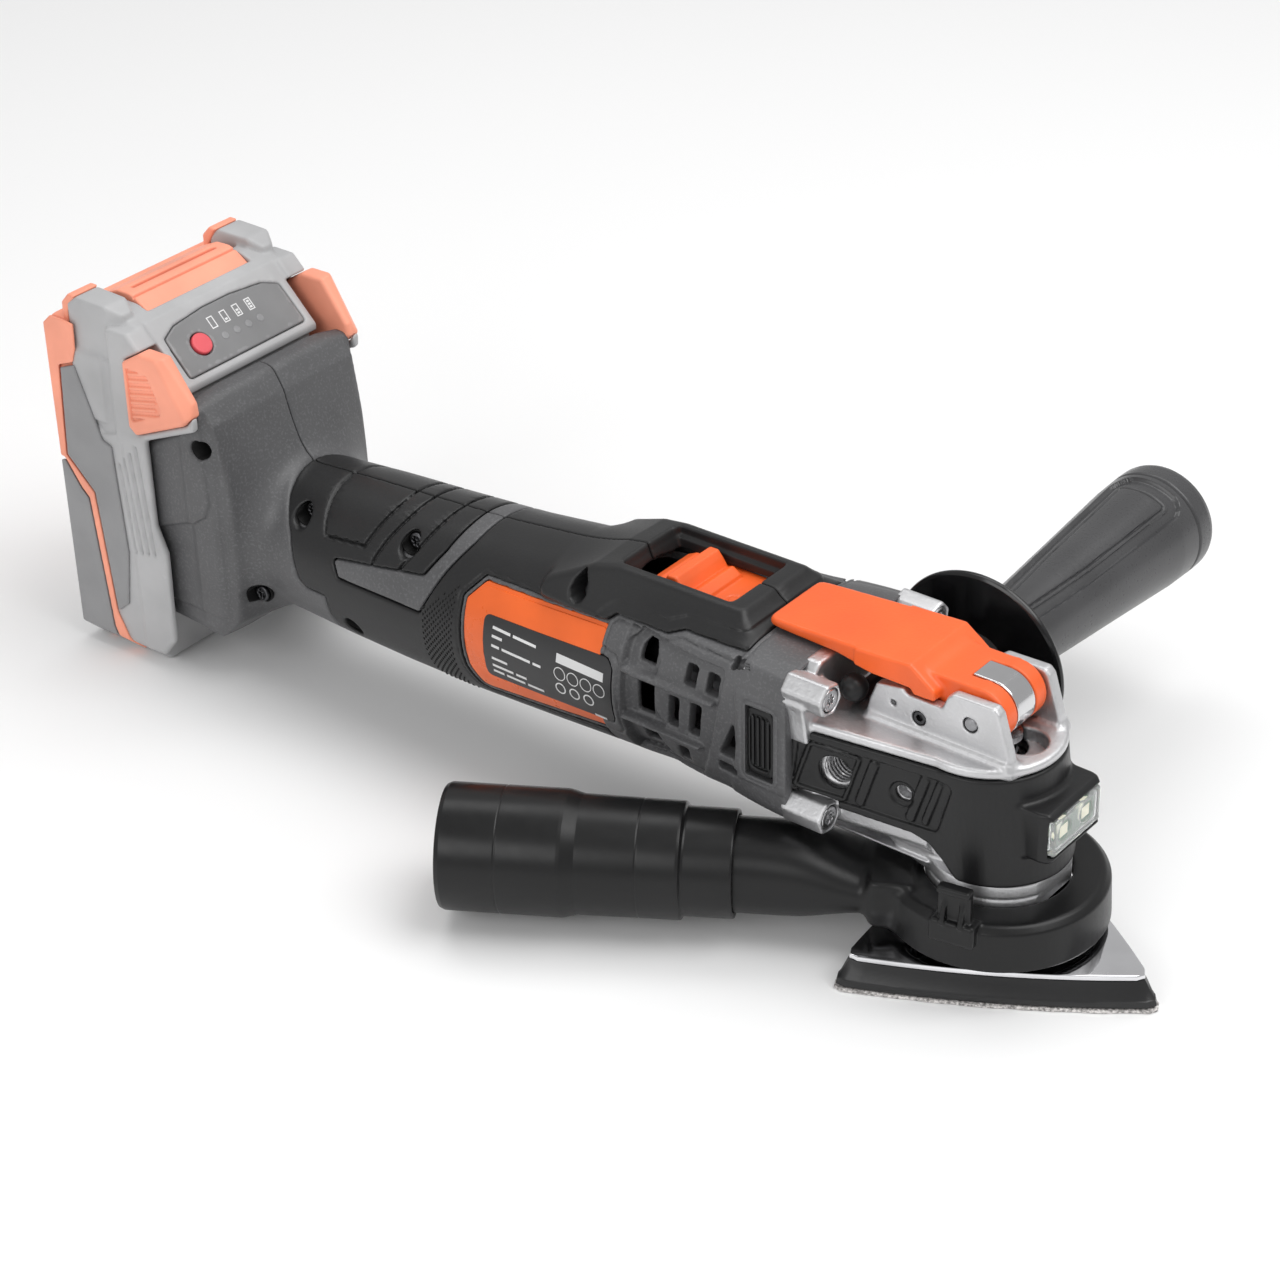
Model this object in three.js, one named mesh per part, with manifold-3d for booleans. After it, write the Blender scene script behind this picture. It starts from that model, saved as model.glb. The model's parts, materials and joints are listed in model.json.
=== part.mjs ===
// Cordless oscillating multi tool with a delta sanding pad, a dust adapter, a side handle and a
// slide-on battery. Millimetres, +Z up. The origin is on the spindle axis at the sanding face, +X points
// to the pad's tip and the battery is at -X. The right half of the tool is at -Y, the left half at +Y.

import * as THREE from 'three';
import { mergeVertices } from 'three/addons/utils/BufferGeometryUtils.js';
import Module from 'manifold-3d';

const wasm = await Module();
wasm.setup();

// ---------------------------------------------------------------- driving dimensions

const GAP = 0.3; // clearance kept between neighbouring parts
const FINE = 32; // sides of large round parts
const COARSE = 16; // sides of small round parts

// Delta pad stack, from the sanding face up.
const PAD_CENTRE_X = 1.5; // the triangle's centre, just ahead of the spindle
const PAD_RADIUS = 51.6; // centre to corner, which gives a 90 mm side
const PAD_BULGE = 2.8; // how far each side bows outwards
const SHEET_TOP = 0.9;
const FOAM_TOP = 8.7;
const PLATE_TOP = 10.5;
const PAD_TAPER = 4.2; // how much smaller the top plate is than the sanding face

// Output head, around the spindle.
const SPINDLE_R = 6.5;
const SPINDLE_TOP = 62;
const COLLAR_R = 20;
const COLLAR_BOTTOM = 24;
const BAND_BOTTOM = 33.3; // lower edge of the black cover at the front
const RIM_BOTTOM = 66.5;
const RIM_TOP = 69.5;
const HEAD_NOSE_X = -5; // centre of the rounded front of the head
const HEAD_NOSE_R = 21.6;
const HEAD_REAR_X = -51.5;
const HEAD_REAR_HALF = 27.8;
const BAND_WALL = 2.6;
const HEAD_LEAN = 4; // how far the nose has moved forward at the band's lower edge

// Tool-change lever.
const PIN_X = -2;
const PIN_Z = 78.4;
const PIN_R = 2;
const LOBE_R = 8.2;
const LOBE_OFFSET = [0.6, 0.8]; // lobe centre from the pin, forward and up
const LEVER_HALF = 14.6;
const LEVER_REAR_X = -69.5;
const LEVER_CREASE_X = -21.5;
const LOBE_HALF = 9.9;
const STRAP_INNER = 7;
const EAR_INNER = 10.4;
const EAR_OUTER = 14.2;
const BOLT_TOP = 70.4;
const SET_SCREW_X = -18;
const SET_SCREW_Z = 74.4;
const SET_SCREW_R = 1.9;

// Four screws hold the gear case to the shells.
const BOSS_Y = 25.9;
const BOSS_HIGH_Z = 78.5;
const BOSS_LOW_Z = 40.6;
const BOSS_FRONT_X = -38;

// Motor line, along X at this height.
const MOTOR_Z = 56;
const MOTOR_CAN_R = 17.6;
const MOTOR_SPAN = [-130, -76];
const ECCENTRICITY = 0.75;
const ECCENTRIC_BEARING_R = 6.5;
const FORK_CLEARANCE = 1.7; // open joint between the eccentric bearing and the fork
const FORK_INNER = ECCENTRIC_BEARING_R + FORK_CLEARANCE;

// Side handle and its threaded seat in the gear case.
const HANDLE_X = -37.5;
const HANDLE_Z = 55;
const HANDLE_THREAD_R = 4;
const GUARD_Y = 46;
const GUARD_R = 28.3;
const HANDLE_END_Y = 150;

// Dust adapter and hose adapter, whose duct leaves the ring backwards and to the right.
const DUCT_ANGLE = THREE.MathUtils.degToRad(180 + 30.3);
const DUCT_Z = 21;
const CLIP_ANGLE = THREE.MathUtils.degToRad(10);
const RING_R = 31.5;
const RING_BOTTOM = 13;
const RING_TOP = 27;

// Body: stations of the barrel as [x, centre height, half width, half height, squareness].
const BODY_STATIONS = [
  [-271, 59, 31, 39.7, 7],
  [-266, 58.5, 30.4, 38.4, 6],
  [-263, 56.5, 29.6, 33, 4.5],
  [-260, 52.5, 28.2, 28.6, 3.2],
  [-256, 48.6, 25.8, 25.8, 2.3],
  [-251, 47.2, 24.6, 24.6, 2],
  [-225, 47.9, 26.2, 26.2, 2],
  [-200, 48.6, 27.2, 27.2, 2],
  [-170, 50, 28.2, 28.2, 2],
  [-140, 52.8, 29.3, 29.3, 2],
  [-112, 55.2, 30, 30, 2],
  [-95, 57.2, 29.8, 27.5, 2.6],
  [-72, 58.6, 29.8, 25.4, 4.5],
  [-52, 59.2, 30.4, 24.8, 8],
];
const COVER_WALL = 2.4; // rubber overmould
const SHELL_WALL = 2.6;
const COVER_REAR_X = -252;
const COVER_FRONT_X = -116.8;
const SEAM = 0.15; // half of the gap between the two halves
const SLIDER_BOTTOM = 78.2; // underside of the switch slider's plate

// Shoe that carries the battery.
const SHOE_REAR_X = -292;
const SHOE_TOP = 98.7;
const SHOE_HALF = 34;
const POCKET_HALF = 27.5;

// Battery.
const PACK_BACK_X = -327;
const PACK_FRONT_X = -292.4;
const PACK_HALF = 37;
const PACK_TOP = 112;
const GAUGE_SLOPE = Math.PI / 4;

// ---------------------------------------------------------------- materials

function material(color, roughness, metalness) {
  return new THREE.MeshStandardMaterial({ color, roughness, metalness });
}

const MATERIAL = {
  shell: material('#4b4b4d', 0.75, 0),
  overmould: material('#1c1c1e', 0.85, 0),
  insert: material('#77787a', 0.6, 0),
  orange: material('#f2682a', 0.45, 0),
  casting: material('#b9babc', 0.45, 0.9),
  cover: material('#232325', 0.6, 0),
  blackPlastic: material('#19191b', 0.45, 0),
  steel: material('#9a9b9e', 0.3, 1),
  darkSteel: material('#3a3a3d', 0.4, 1),
  copper: material('#b06a3a', 0.4, 1),
  lens: material('#e6ecec', 0.1, 0),
  board: material('#1f5a36', 0.5, 0),
  brass: material('#b59a52', 0.35, 1),
  chrome: material('#d8d8da', 0.08, 1),
  foam: material('#222224', 0.9, 0),
  abrasive: material('#8d8a86', 0.95, 0),
  packGrey: material('#bdbdbd', 0.6, 0),
  packOrange: material('#fdb39a', 0.5, 0),
  packDark: material('#8f8f90', 0.6, 0),
  gauge: material('#8c8c8c', 0.25, 0),
  gaugeRed: material('#e0707c', 0.4, 0),
  cell: material('#3f6fae', 0.4, 0),
};

// ---------------------------------------------------------------- solids from three.js geometry

function solid(geometry) {
  const bare = geometry.index ? geometry.toNonIndexed() : geometry.clone();
  bare.deleteAttribute('normal');
  bare.deleteAttribute('uv');
  const merged = mergeVertices(bare, 1e-4);
  return new wasm.Manifold(
    new wasm.Mesh({
      numProp: 3,
      vertProperties: new Float32Array(merged.attributes.position.array),
      triVerts: new Uint32Array(merged.index.array),
    }),
  );
}

function meshGeometry(body) {
  const mesh = body.getMesh();
  const geometry = new THREE.BufferGeometry();
  geometry.setAttribute('position', new THREE.BufferAttribute(new Float32Array(mesh.vertProperties), 3));
  geometry.setIndex(new THREE.BufferAttribute(new Uint32Array(mesh.triVerts), 1));
  const flat = geometry.toNonIndexed();
  flat.computeVertexNormals();
  return flat;
}

function union(...bodies) {
  return bodies.reduce((whole, body) => whole.add(body));
}

function box([x0, x1], [y0, y1], [z0, z1]) {
  const geometry = new THREE.BoxGeometry(x1 - x0, y1 - y0, z1 - z0);
  geometry.translate((x0 + x1) / 2, (y0 + y1) / 2, (z0 + z1) / 2);
  return solid(geometry);
}

// Turns geometry made around Z so that its axis lies along X or Y, keeping it right-handed.
function turnTo(axis, geometry) {
  if (axis === 'x') geometry.rotateY(Math.PI / 2);
  if (axis === 'y') geometry.rotateX(-Math.PI / 2);
  return geometry;
}

// Round bar along an axis from one coordinate to another.
// The centre gives the other two coordinates in X, Y, Z order.
function bar(axis, radius, [from, to], [a, b], sides = COARSE, endRadius = radius) {
  const geometry = new THREE.CylinderGeometry(endRadius, radius, to - from, sides);
  geometry.rotateX(Math.PI / 2);
  geometry.translate(0, 0, (from + to) / 2);
  turnTo(axis, geometry);
  const offset = { x: [0, a, b], y: [a, 0, b], z: [a, b, 0] }[axis];
  geometry.translate(...offset);
  return solid(geometry);
}

// Solid of revolution about an axis. The profile is a list of [radius, distance along the axis].
function turned(axis, profile, [a, b] = [0, 0], sides = FINE) {
  const points = profile.map(([r, h]) => new THREE.Vector2(r, h));
  if (profile[0][0] > 0) points.push(points[0].clone());
  const geometry = new THREE.LatheGeometry(points, sides);
  geometry.rotateX(Math.PI / 2);
  turnTo(axis, geometry);
  const offset = { x: [0, a, b], y: [a, 0, b], z: [a, b, 0] }[axis];
  geometry.translate(...offset);
  const body = solid(geometry);
  return body.volume() < 0 ? solid(flipped(geometry)) : body;
}

function flipped(geometry) {
  const turnedIn = geometry.toNonIndexed();
  const position = turnedIn.attributes.position;
  for (let i = 0; i < position.count; i += 3) {
    const second = new THREE.Vector3().fromBufferAttribute(position, i + 1);
    const third = new THREE.Vector3().fromBufferAttribute(position, i + 2);
    position.setXYZ(i + 1, third.x, third.y, third.z);
    position.setXYZ(i + 2, second.x, second.y, second.z);
  }
  return turnedIn;
}

function outline(points) {
  return new THREE.Shape(points.map(([x, y]) => new THREE.Vector2(x, y)));
}

// Flat plate seen from the side: an outline in X and Z, between two values of Y.
function sidePlate(points, [y0, y1]) {
  const shape = Array.isArray(points) ? outline(points) : points;
  const settings = { depth: y1 - y0, bevelEnabled: false, curveSegments: 8 };
  const geometry = new THREE.ExtrudeGeometry(shape, settings);
  geometry.rotateX(Math.PI / 2);
  geometry.translate(0, y1, 0);
  return solid(geometry);
}

// Flat plate seen from above: an outline in X and Y, between two values of Z.
function planPlate(points, [z0, z1]) {
  const shape = Array.isArray(points) ? outline(points) : points;
  const settings = { depth: z1 - z0, bevelEnabled: false, curveSegments: 12 };
  const geometry = new THREE.ExtrudeGeometry(shape, settings);
  geometry.translate(0, 0, z0);
  return solid(geometry);
}

// Plate seen from the front: an outline in Y and Z, between two values of X.
function frontPlate(points, [x0, x1]) {
  const geometry = new THREE.ExtrudeGeometry(outline(points), { depth: x1 - x0, bevelEnabled: false });
  geometry.rotateX(Math.PI / 2);
  geometry.rotateZ(Math.PI / 2);
  geometry.translate(x0, 0, 0);
  return solid(geometry);
}

// Copy of a body moved by a matrix. A matrix that mirrors also turns the triangles over.
function moved(body, matrix) {
  const mesh = body.getMesh();
  const position = new THREE.BufferAttribute(new Float32Array(mesh.vertProperties), 3);
  position.applyMatrix4(matrix);
  const triVerts = new Uint32Array(mesh.triVerts);
  if (matrix.determinant() < 0) {
    for (let i = 0; i < triVerts.length; i += 3) {
      [triVerts[i + 1], triVerts[i + 2]] = [triVerts[i + 2], triVerts[i + 1]];
    }
  }
  return new wasm.Manifold(new wasm.Mesh({ numProp: 3, vertProperties: position.array, triVerts }));
}

function mirrored(body) {
  return moved(body, new THREE.Matrix4().makeScale(1, -1, 1));
}

// Tapering tube whose cross-section follows stations of
// [x, centre height, half width, half height, squareness].
// A squareness of 2 is an ellipse and larger values are squarer.
function barrel(stations, sides = 28, centreY = 0) {
  const geometry = new THREE.CylinderGeometry(1, 1, 1, sides, stations.length - 1);
  const position = geometry.attributes.position;
  for (let i = 0; i < position.count; i += 1) {
    const level = Math.round((0.5 - position.getY(i)) * (stations.length - 1));
    const [x, centre, halfWidth, halfHeight, squareness] = stations[level];
    const across = superellipse(position.getX(i), squareness);
    const up = superellipse(position.getZ(i), squareness);
    position.setXYZ(i, x, centreY + across * halfWidth, centre + up * halfHeight);
  }
  const body = solid(geometry);
  return body.volume() < 0 ? solid(flipped(geometry)) : body;
}

function superellipse(value, squareness) {
  const size = Math.abs(value) < 1e-6 ? 0 : Math.abs(value);
  return Math.sign(value) * size ** (2 / squareness);
}

function inset(stations, amount) {
  return stations.map(([x, centre, halfWidth, halfHeight, squareness]) => {
    const wall = typeof amount === 'function' ? amount(x) : amount;
    return [x, centre, halfWidth - wall, halfHeight - wall, squareness];
  });
}

// ---------------------------------------------------------------- the model

const tool = new THREE.Group();

function addPart(name, body, look) {
  const mesh = new THREE.Mesh(meshGeometry(body), look);
  mesh.name = name;
  tool.add(mesh);
}

function addPair(name, rightBody, look) {
  addPart(`${name}_right`, rightBody, look);
  addPart(`${name}_left`, mirrored(rightBody), look);
}

// ---------------------------------------------------------------- sanding pad

// Triangle with bowed sides. A smaller radius gives the top of the taper.
function deltaOutline(radius) {
  const corners = [0, 1, 2].map((i) => {
    const angle = (i * 2 * Math.PI) / 3;
    return new THREE.Vector2(PAD_CENTRE_X + radius * Math.cos(angle), radius * Math.sin(angle));
  });
  const points = [];
  corners.forEach((corner, i) => {
    const next = corners[(i + 1) % 3];
    const outward = new THREE.Vector2(next.y - corner.y, corner.x - next.x).normalize();
    for (let step = 0; step < 8; step += 1) {
      const t = 0.02 + (0.96 * step) / 7;
      const bow = PAD_BULGE * 4 * t * (1 - t);
      const point = corner.clone().lerp(next, t).addScaledVector(outward, bow);
      points.push([point.x, point.y]);
    }
  });
  return points;
}

function deltaSolid([z0, z1], radiusBottom, radiusTop) {
  const geometry = new THREE.ExtrudeGeometry(outline(deltaOutline(radiusBottom)), {
    depth: z1 - z0,
    bevelEnabled: false,
  });
  const position = geometry.attributes.position;
  for (let i = 0; i < position.count; i += 1) {
    const shrink = position.getZ(i) > (z1 - z0) / 2 ? radiusTop / radiusBottom : 1;
    const x = PAD_CENTRE_X + (position.getX(i) - PAD_CENTRE_X) * shrink;
    position.setXYZ(i, x, position.getY(i) * shrink, position.getZ(i) + z0);
  }
  return solid(geometry);
}

function addPad() {
  const plateRadius = PAD_RADIUS - PAD_TAPER;
  const boltRoom = bar('z', 10, [SHEET_TOP + GAP, FOAM_TOP + 1], [0, 0]);
  const foam = deltaSolid([SHEET_TOP + GAP, FOAM_TOP], PAD_RADIUS, plateRadius).subtract(boltRoom);
  const plate = deltaSolid([FOAM_TOP + GAP, PLATE_TOP], plateRadius, plateRadius - 0.4);
  const sheetRadius = PAD_RADIUS + 0.6;
  addPart('sanding_sheet', deltaSolid([0, SHEET_TOP], sheetRadius, sheetRadius), MATERIAL.abrasive);
  addPart('pad_foam', foam, MATERIAL.foam);
  addPart('pad_plate', plate.subtract(bar('z', 3.2, [8, 11], [0, 0])), MATERIAL.chrome);
}

// ---------------------------------------------------------------- output head

// The head seen from above: a tapering block with a round nose. Below the rim the nose leans forward.
function headBlock(shrink, [z0, z1]) {
  const half = HEAD_REAR_HALF - shrink;
  const points = [
    [HEAD_REAR_X, half],
    [HEAD_REAR_X, -half],
  ];
  const sweep = THREE.MathUtils.degToRad(97);
  const steps = 18;
  for (let i = 0; i <= steps; i += 1) {
    const angle = sweep * ((2 * i) / steps - 1);
    const radius = HEAD_NOSE_R - shrink;
    points.push([HEAD_NOSE_X + radius * Math.cos(angle), radius * Math.sin(angle)]);
  }
  const geometry = new THREE.ExtrudeGeometry(outline(points), { depth: z1 - z0, bevelEnabled: false });
  geometry.translate(0, 0, z0);
  const position = geometry.attributes.position;
  for (let i = 0; i < position.count; i += 1) {
    const depth = THREE.MathUtils.clamp((RIM_BOTTOM - position.getZ(i)) / (RIM_BOTTOM - BAND_BOTTOM), 0, 1);
    const forward = THREE.MathUtils.clamp((position.getX(i) + 30) / 30, 0, 1);
    position.setX(i, position.getX(i) + HEAD_LEAN * depth * forward);
  }
  return solid(geometry);
}

function gearScrewSeats() {
  return [
    [-BOSS_Y, BOSS_HIGH_Z],
    [BOSS_Y, BOSS_HIGH_Z],
    [-BOSS_Y, BOSS_LOW_Z],
    [BOSS_Y, BOSS_LOW_Z],
  ];
}

function earWall() {
  const profile = [
    [-36, RIM_TOP - 1],
    [-34, 75],
    [-32, 80.3],
    [-23.4, 81.8],
    [-21.8, 80.4],
    [-11, 80.3],
    [-9.4, 84.4],
    [-7.8, 85.6],
    [5.2, 86],
    [6.8, 84.4],
    [10.4, 73],
    [11.4, RIM_TOP - 1],
  ];
  return sidePlate(profile, [-EAR_OUTER, -EAR_INNER]);
}

function addGearCase() {
  const core = headBlock(BAND_WALL + GAP, [43, RIM_BOTTOM + 0.5]);
  const rim = headBlock(0, [RIM_BOTTOM, RIM_TOP]);
  const belly = headBlock(5, [35.8, 43.5]).intersect(box([-60, -12], [-30, 30], [30, 50]));
  const neck = sidePlate(
    [
      [-46, 44],
      [-46, 35.8],
      [-30, 35.8],
      [-22, 30.4],
      [-14, RING_TOP + 0.8],
      [0, RING_TOP + 0.8],
      [0, 44],
    ],
    [-16, 16],
  );
  const collar = bar('z', COLLAR_R, [COLLAR_BOTTOM, BAND_BOTTOM - GAP], [0, 0], FINE);
  const throat = bar('z', 16.5, [BAND_BOTTOM - 1, 44], [0, 0], FINE);
  const backPlate = box([HEAD_REAR_X, -46.5], [-24, 24], [RIM_TOP - 0.5, 83.6]);
  let body = union(core, rim, belly, neck, collar, throat, backPlate, earWall(), mirrored(earWall()));
  for (const [y, z] of gearScrewSeats()) {
    const inner = y > 0 ? [18, 23.8] : [-23.8, -18];
    const root = z > MOTOR_Z ? [z - 6, z + 1] : [z - 1, z + 6];
    const boss = bar('x', 4.7, [HEAD_REAR_X, BOSS_FRONT_X], [y, z]);
    body = union(body, boss, box([HEAD_REAR_X, -44], inner, root));
  }
  const chamber = union(
    box([HEAD_REAR_X - 1, -4], [-14, 14], [44, 64]),
    bar('z', 11.4, [33, 65], [0, 0], FINE),
    bar('z', 13.4, [26.6, 34.4], [0, 0], FINE),
    bar('z', 7.4, [20, 30], [0, 0]),
    bar('z', 6.2, [60, 72], [0, 0]),
    bar('z', 5.6, [65.5, 72], [5.4, 0]),
  );
  body = body.subtract(chamber);
  for (const [y, z] of gearScrewSeats()) {
    const shank = bar('x', 2.2, [HEAD_REAR_X - 1, BOSS_FRONT_X + 1], [y, z]);
    const headSeat = bar('x', 3.7, [BOSS_FRONT_X - 2.6, BOSS_FRONT_X + 1], [y, z]);
    body = body.subtract(shank).subtract(headSeat);
  }
  const handleThread = bar('y', HANDLE_THREAD_R, [-30, -15.5], [HANDLE_X, HANDLE_Z], 24);
  body = body.subtract(handleThread).subtract(mirrored(handleThread));
  body = body.subtract(bar('y', PIN_R + GAP, [-16, 16], [PIN_X, PIN_Z]));
  const lobeSweep = Math.hypot(...LOBE_OFFSET) + LOBE_R + GAP;
  body = body.subtract(bar('y', lobeSweep, [-EAR_INNER, EAR_INNER], [PIN_X, PIN_Z], 36));
  body = body.subtract(bar('y', SET_SCREW_R + GAP, [-16, -8], [SET_SCREW_X, SET_SCREW_Z]));
  body = body.subtract(bar('y', 0.9, [-16, -12.5], [-26.2, 76.3], 10));
  addPart('gear_case', body, MATERIAL.casting);
}

function addGearScrews() {
  gearScrewSeats().forEach(([y, z], index) => {
    const head = bar('x', 3.3, [BOSS_FRONT_X - 2.3, BOSS_FRONT_X - 0.2], [y, z]);
    const socket = bar('x', 1.5, [BOSS_FRONT_X - 1.6, BOSS_FRONT_X + 1], [y, z], 6);
    const shank = bar('x', 1.8, [-66, BOSS_FRONT_X - 2], [y, z], 12);
    addPart(`gear_case_screw_${index + 1}`, head.add(shank).subtract(socket), MATERIAL.steel);
  });
}

// Black band that slides over the gear case from the front, with the work light's housing on its nose.
function addHeadCover() {
  const outer = headBlock(0, [BAND_BOTTOM, RIM_BOTTOM - GAP]);
  const lightHousing = box([10, 24.5], [-13.5, 13.5], [42.5, 58.5]);
  const rearCutaway = sidePlate(
    [
      [-60, 20],
      [-60, 44.4],
      [-11, 43.4],
      [2, BAND_BOTTOM],
      [2, 20],
    ],
    [-40, 40],
  );
  const inside = headBlock(BAND_WALL, [BAND_BOTTOM - 1, RIM_BOTTOM + 1]);
  const behind = box([-60, -40], [-24, 24], [30, 70]);
  const lensRoom = box([19, 30], [-12, 12], [44.6, 56.6]);
  let band = outer.add(lightHousing).subtract(rearCutaway).subtract(inside).subtract(behind);
  band = band.subtract(lensRoom).subtract(box([-60, HEAD_REAR_X + GAP], [-40, 40], [20, 80]));
  const handleHole = bar('y', HANDLE_THREAD_R + 1, [-40, 40], [HANDLE_X, HANDLE_Z], 24);
  const screwHole = bar('y', 2.3, [-40, -15], [-17.5, 54.5], 12);
  for (const [y, z] of gearScrewSeats()) {
    band = band.subtract(bar('x', 5, [-60, -36], [y, z]));
  }
  addPart('head_cover', band.subtract(handleHole).subtract(screwHole), MATERIAL.cover);
  addPart('light_board', box([19.3, 20.6], [-11.5, 11.5], [45.2, 56]), MATERIAL.board);
  addPart('light_lens', box([21.2, 24], [-11.6, 11.6], [45, 56.2]), MATERIAL.lens);
}

function addCaseHardware() {
  const pin = bar('y', PIN_R, [-EAR_OUTER + 0.2, EAR_OUTER - 0.2], [PIN_X, PIN_Z]);
  addPart('lever_pin', pin, MATERIAL.darkSteel);
  const socket = bar('y', 0.9, [-15, -12.6], [SET_SCREW_X, SET_SCREW_Z], 6);
  const screw = bar('y', SET_SCREW_R, [-EAR_OUTER + 0.3, -EAR_INNER - 0.2], [SET_SCREW_X, SET_SCREW_Z]);
  addPart('set_screw', screw.subtract(socket), MATERIAL.darkSteel);
  const bumperBar = box([-41.5, -38.5], [-12, 12], [RIM_TOP + GAP, 74.5]);
  const ball = new THREE.SphereGeometry(4, 12, 8);
  ball.translate(-40, -12.5, 75.2);
  const bumper = solid(ball);
  addPart('lever_bumper', union(bumperBar, bumper, mirrored(bumper)), MATERIAL.overmould);
}

// ---------------------------------------------------------------- output spindle and its drive

function addSpindle() {
  const profile = [
    [2.8, PLATE_TOP + GAP],
    [9.5, PLATE_TOP + GAP],
    [9.5, 14.2],
    [SPINDLE_R, 14.2],
    [SPINDLE_R, SPINDLE_TOP],
    [4.8, SPINDLE_TOP],
    [4.8, 46],
    [2.8, 46],
  ];
  addPart('spindle', turned('z', profile, [0, 0], 24), MATERIAL.steel);

  const hub = bar('z', 10.6, [46.5, 57.6], [0, 0], 24);
  const arm = box([-33, -5], [-FORK_INNER - 3.6, -FORK_INNER], [49.5, 57.5]);
  const prong = box([-33, -24], [-FORK_INNER - 3.6, -FORK_INNER], [49.5, 62]);
  const web = box([-16, -3], [-FORK_INNER - 1, FORK_INNER + 1], [49.5, 57.5]);
  const fork = union(hub, arm, mirrored(arm), prong, mirrored(prong), web);
  const spindleHole = bar('z', SPINDLE_R + GAP, [40, 70], [0, 0], 24);
  addPart('rocker_fork', fork.subtract(spindleHole), MATERIAL.darkSteel);

  const ring = (name, outer, [z0, z1]) => {
    const race = bar('z', outer, [z0, z1], [0, 0], 32);
    addPart(name, race.subtract(bar('z', SPINDLE_R + GAP, [z0 - 1, z1 + 1], [0, 0], 24)), MATERIAL.steel);
  };
  ring('spindle_bearing_lower', 13, [27, 34]);
  ring('spindle_bearing_upper', 11, [58.4, 64.4]);
}

function addClamp() {
  const washer = bar('z', 8.5, [5.4, FOAM_TOP - 0.4], [0, 0], 24);
  const stem = bar('z', 2.2, [6, 70], [0, 0]);
  const cap = bar('z', 5, [68.7, BOLT_TOP], [0, 0], 24);
  addPart('clamp_bolt', union(washer, stem, cap), MATERIAL.steel);
  addPart('clamp_spring', coilSpring([46.6, 68.3], 3.6, 0.55, 6), MATERIAL.darkSteel);
}

function coilSpring([z0, z1], radius, wire, turns) {
  class Helix extends THREE.Curve {
    getPoint(t, target = new THREE.Vector3()) {
      const angle = 2 * Math.PI * turns * t;
      const rise = z0 + wire + (z1 - z0 - 2 * wire) * t;
      return target.set(radius * Math.cos(angle), radius * Math.sin(angle), rise);
    }
  }
  const section = new THREE.Shape();
  section.absarc(0, 0, wire, 0, 2 * Math.PI);
  const geometry = new THREE.ExtrudeGeometry(section, {
    extrudePath: new Helix(),
    steps: turns * 10,
    curveSegments: 2,
  });
  const body = solid(geometry);
  return body.volume() < 0 ? solid(flipped(geometry)) : body;
}

// ---------------------------------------------------------------- tool-change lever

function addLever() {
  const [forward, up] = LOBE_OFFSET;
  const lobeCentre = [PIN_X + forward, PIN_Z + up];
  const paddleSide = sidePlate(
    [
      [LEVER_REAR_X, 84.5],
      [LEVER_REAR_X, 86.3],
      [LEVER_REAR_X + 1, 87],
      [LEVER_CREASE_X, 89.7],
      [-13.2, 83.6],
      [-13.2, 81],
      [-20.4, 80.9],
      [-21.4, 82.4],
      [-34, 82.4],
      [-46, 84.2],
    ],
    [-LEVER_HALF, LEVER_HALF],
  );
  const plan = new THREE.Shape();
  plan.moveTo(-13, -LEVER_HALF);
  plan.lineTo(-13, LEVER_HALF);
  plan.lineTo(LEVER_CREASE_X, LEVER_HALF - 0.6);
  plan.lineTo(LEVER_REAR_X + 7, LEVER_HALF - 2);
  plan.absarc(LEVER_REAR_X + 7, LEVER_HALF - 9, 7, Math.PI / 2, Math.PI, false);
  plan.absarc(LEVER_REAR_X + 7, 9 - LEVER_HALF, 7, Math.PI, 1.5 * Math.PI, false);
  plan.lineTo(LEVER_CREASE_X, 0.6 - LEVER_HALF);
  const paddle = paddleSide.intersect(planPlate(plan, [70, 95]));
  const neck = sidePlate(
    [
      [-20, 81.5],
      [-20, 87],
      [-1.4, 87.3],
      [-1.4, 74],
      [-7, 75],
    ],
    [-LOBE_HALF, LOBE_HALF],
  );
  const lobe = bar('y', LOBE_R, [-LOBE_HALF, LOBE_HALF], lobeCentre, 36);
  const aheadOfTail = box([lobeCentre[0] - 6.5, 20], [-5, 5], [60, 99]);
  const strapRoom = union(
    bar('y', LOBE_R + 1, [-4.6, 4.6], lobeCentre, 36).intersect(aheadOfTail),
    box([lobeCentre[0] - 8, lobeCentre[0]], [-4.6, 4.6], [lobeCentre[1] + STRAP_INNER - GAP, 99]),
  ).subtract(bar('y', STRAP_INNER - GAP, [-9, 9], lobeCentre, 36));
  const pinHole = bar('y', PIN_R + GAP, [-12, 12], [PIN_X, PIN_Z]);
  addPart('clamp_lever', union(paddle, neck, lobe).subtract(strapRoom).subtract(pinHole), MATERIAL.orange);

  const strapRing = bar('y', LOBE_R, [-4.2, 4.2], lobeCentre, 36)
    .subtract(bar('y', STRAP_INNER, [-9, 9], lobeCentre, 36))
    .intersect(box([lobeCentre[0] - 1, 20], [-5, 5], [60, 99]));
  const strapTail = box([lobeCentre[0] - 7, lobeCentre[0] - 0.5], [-4.2, 4.2], [
    lobeCentre[1] + STRAP_INNER,
    lobeCentre[1] + LOBE_R,
  ]);
  addPart('cam_strap', strapRing.add(strapTail), MATERIAL.steel);
}

// ---------------------------------------------------------------- motor

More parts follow.
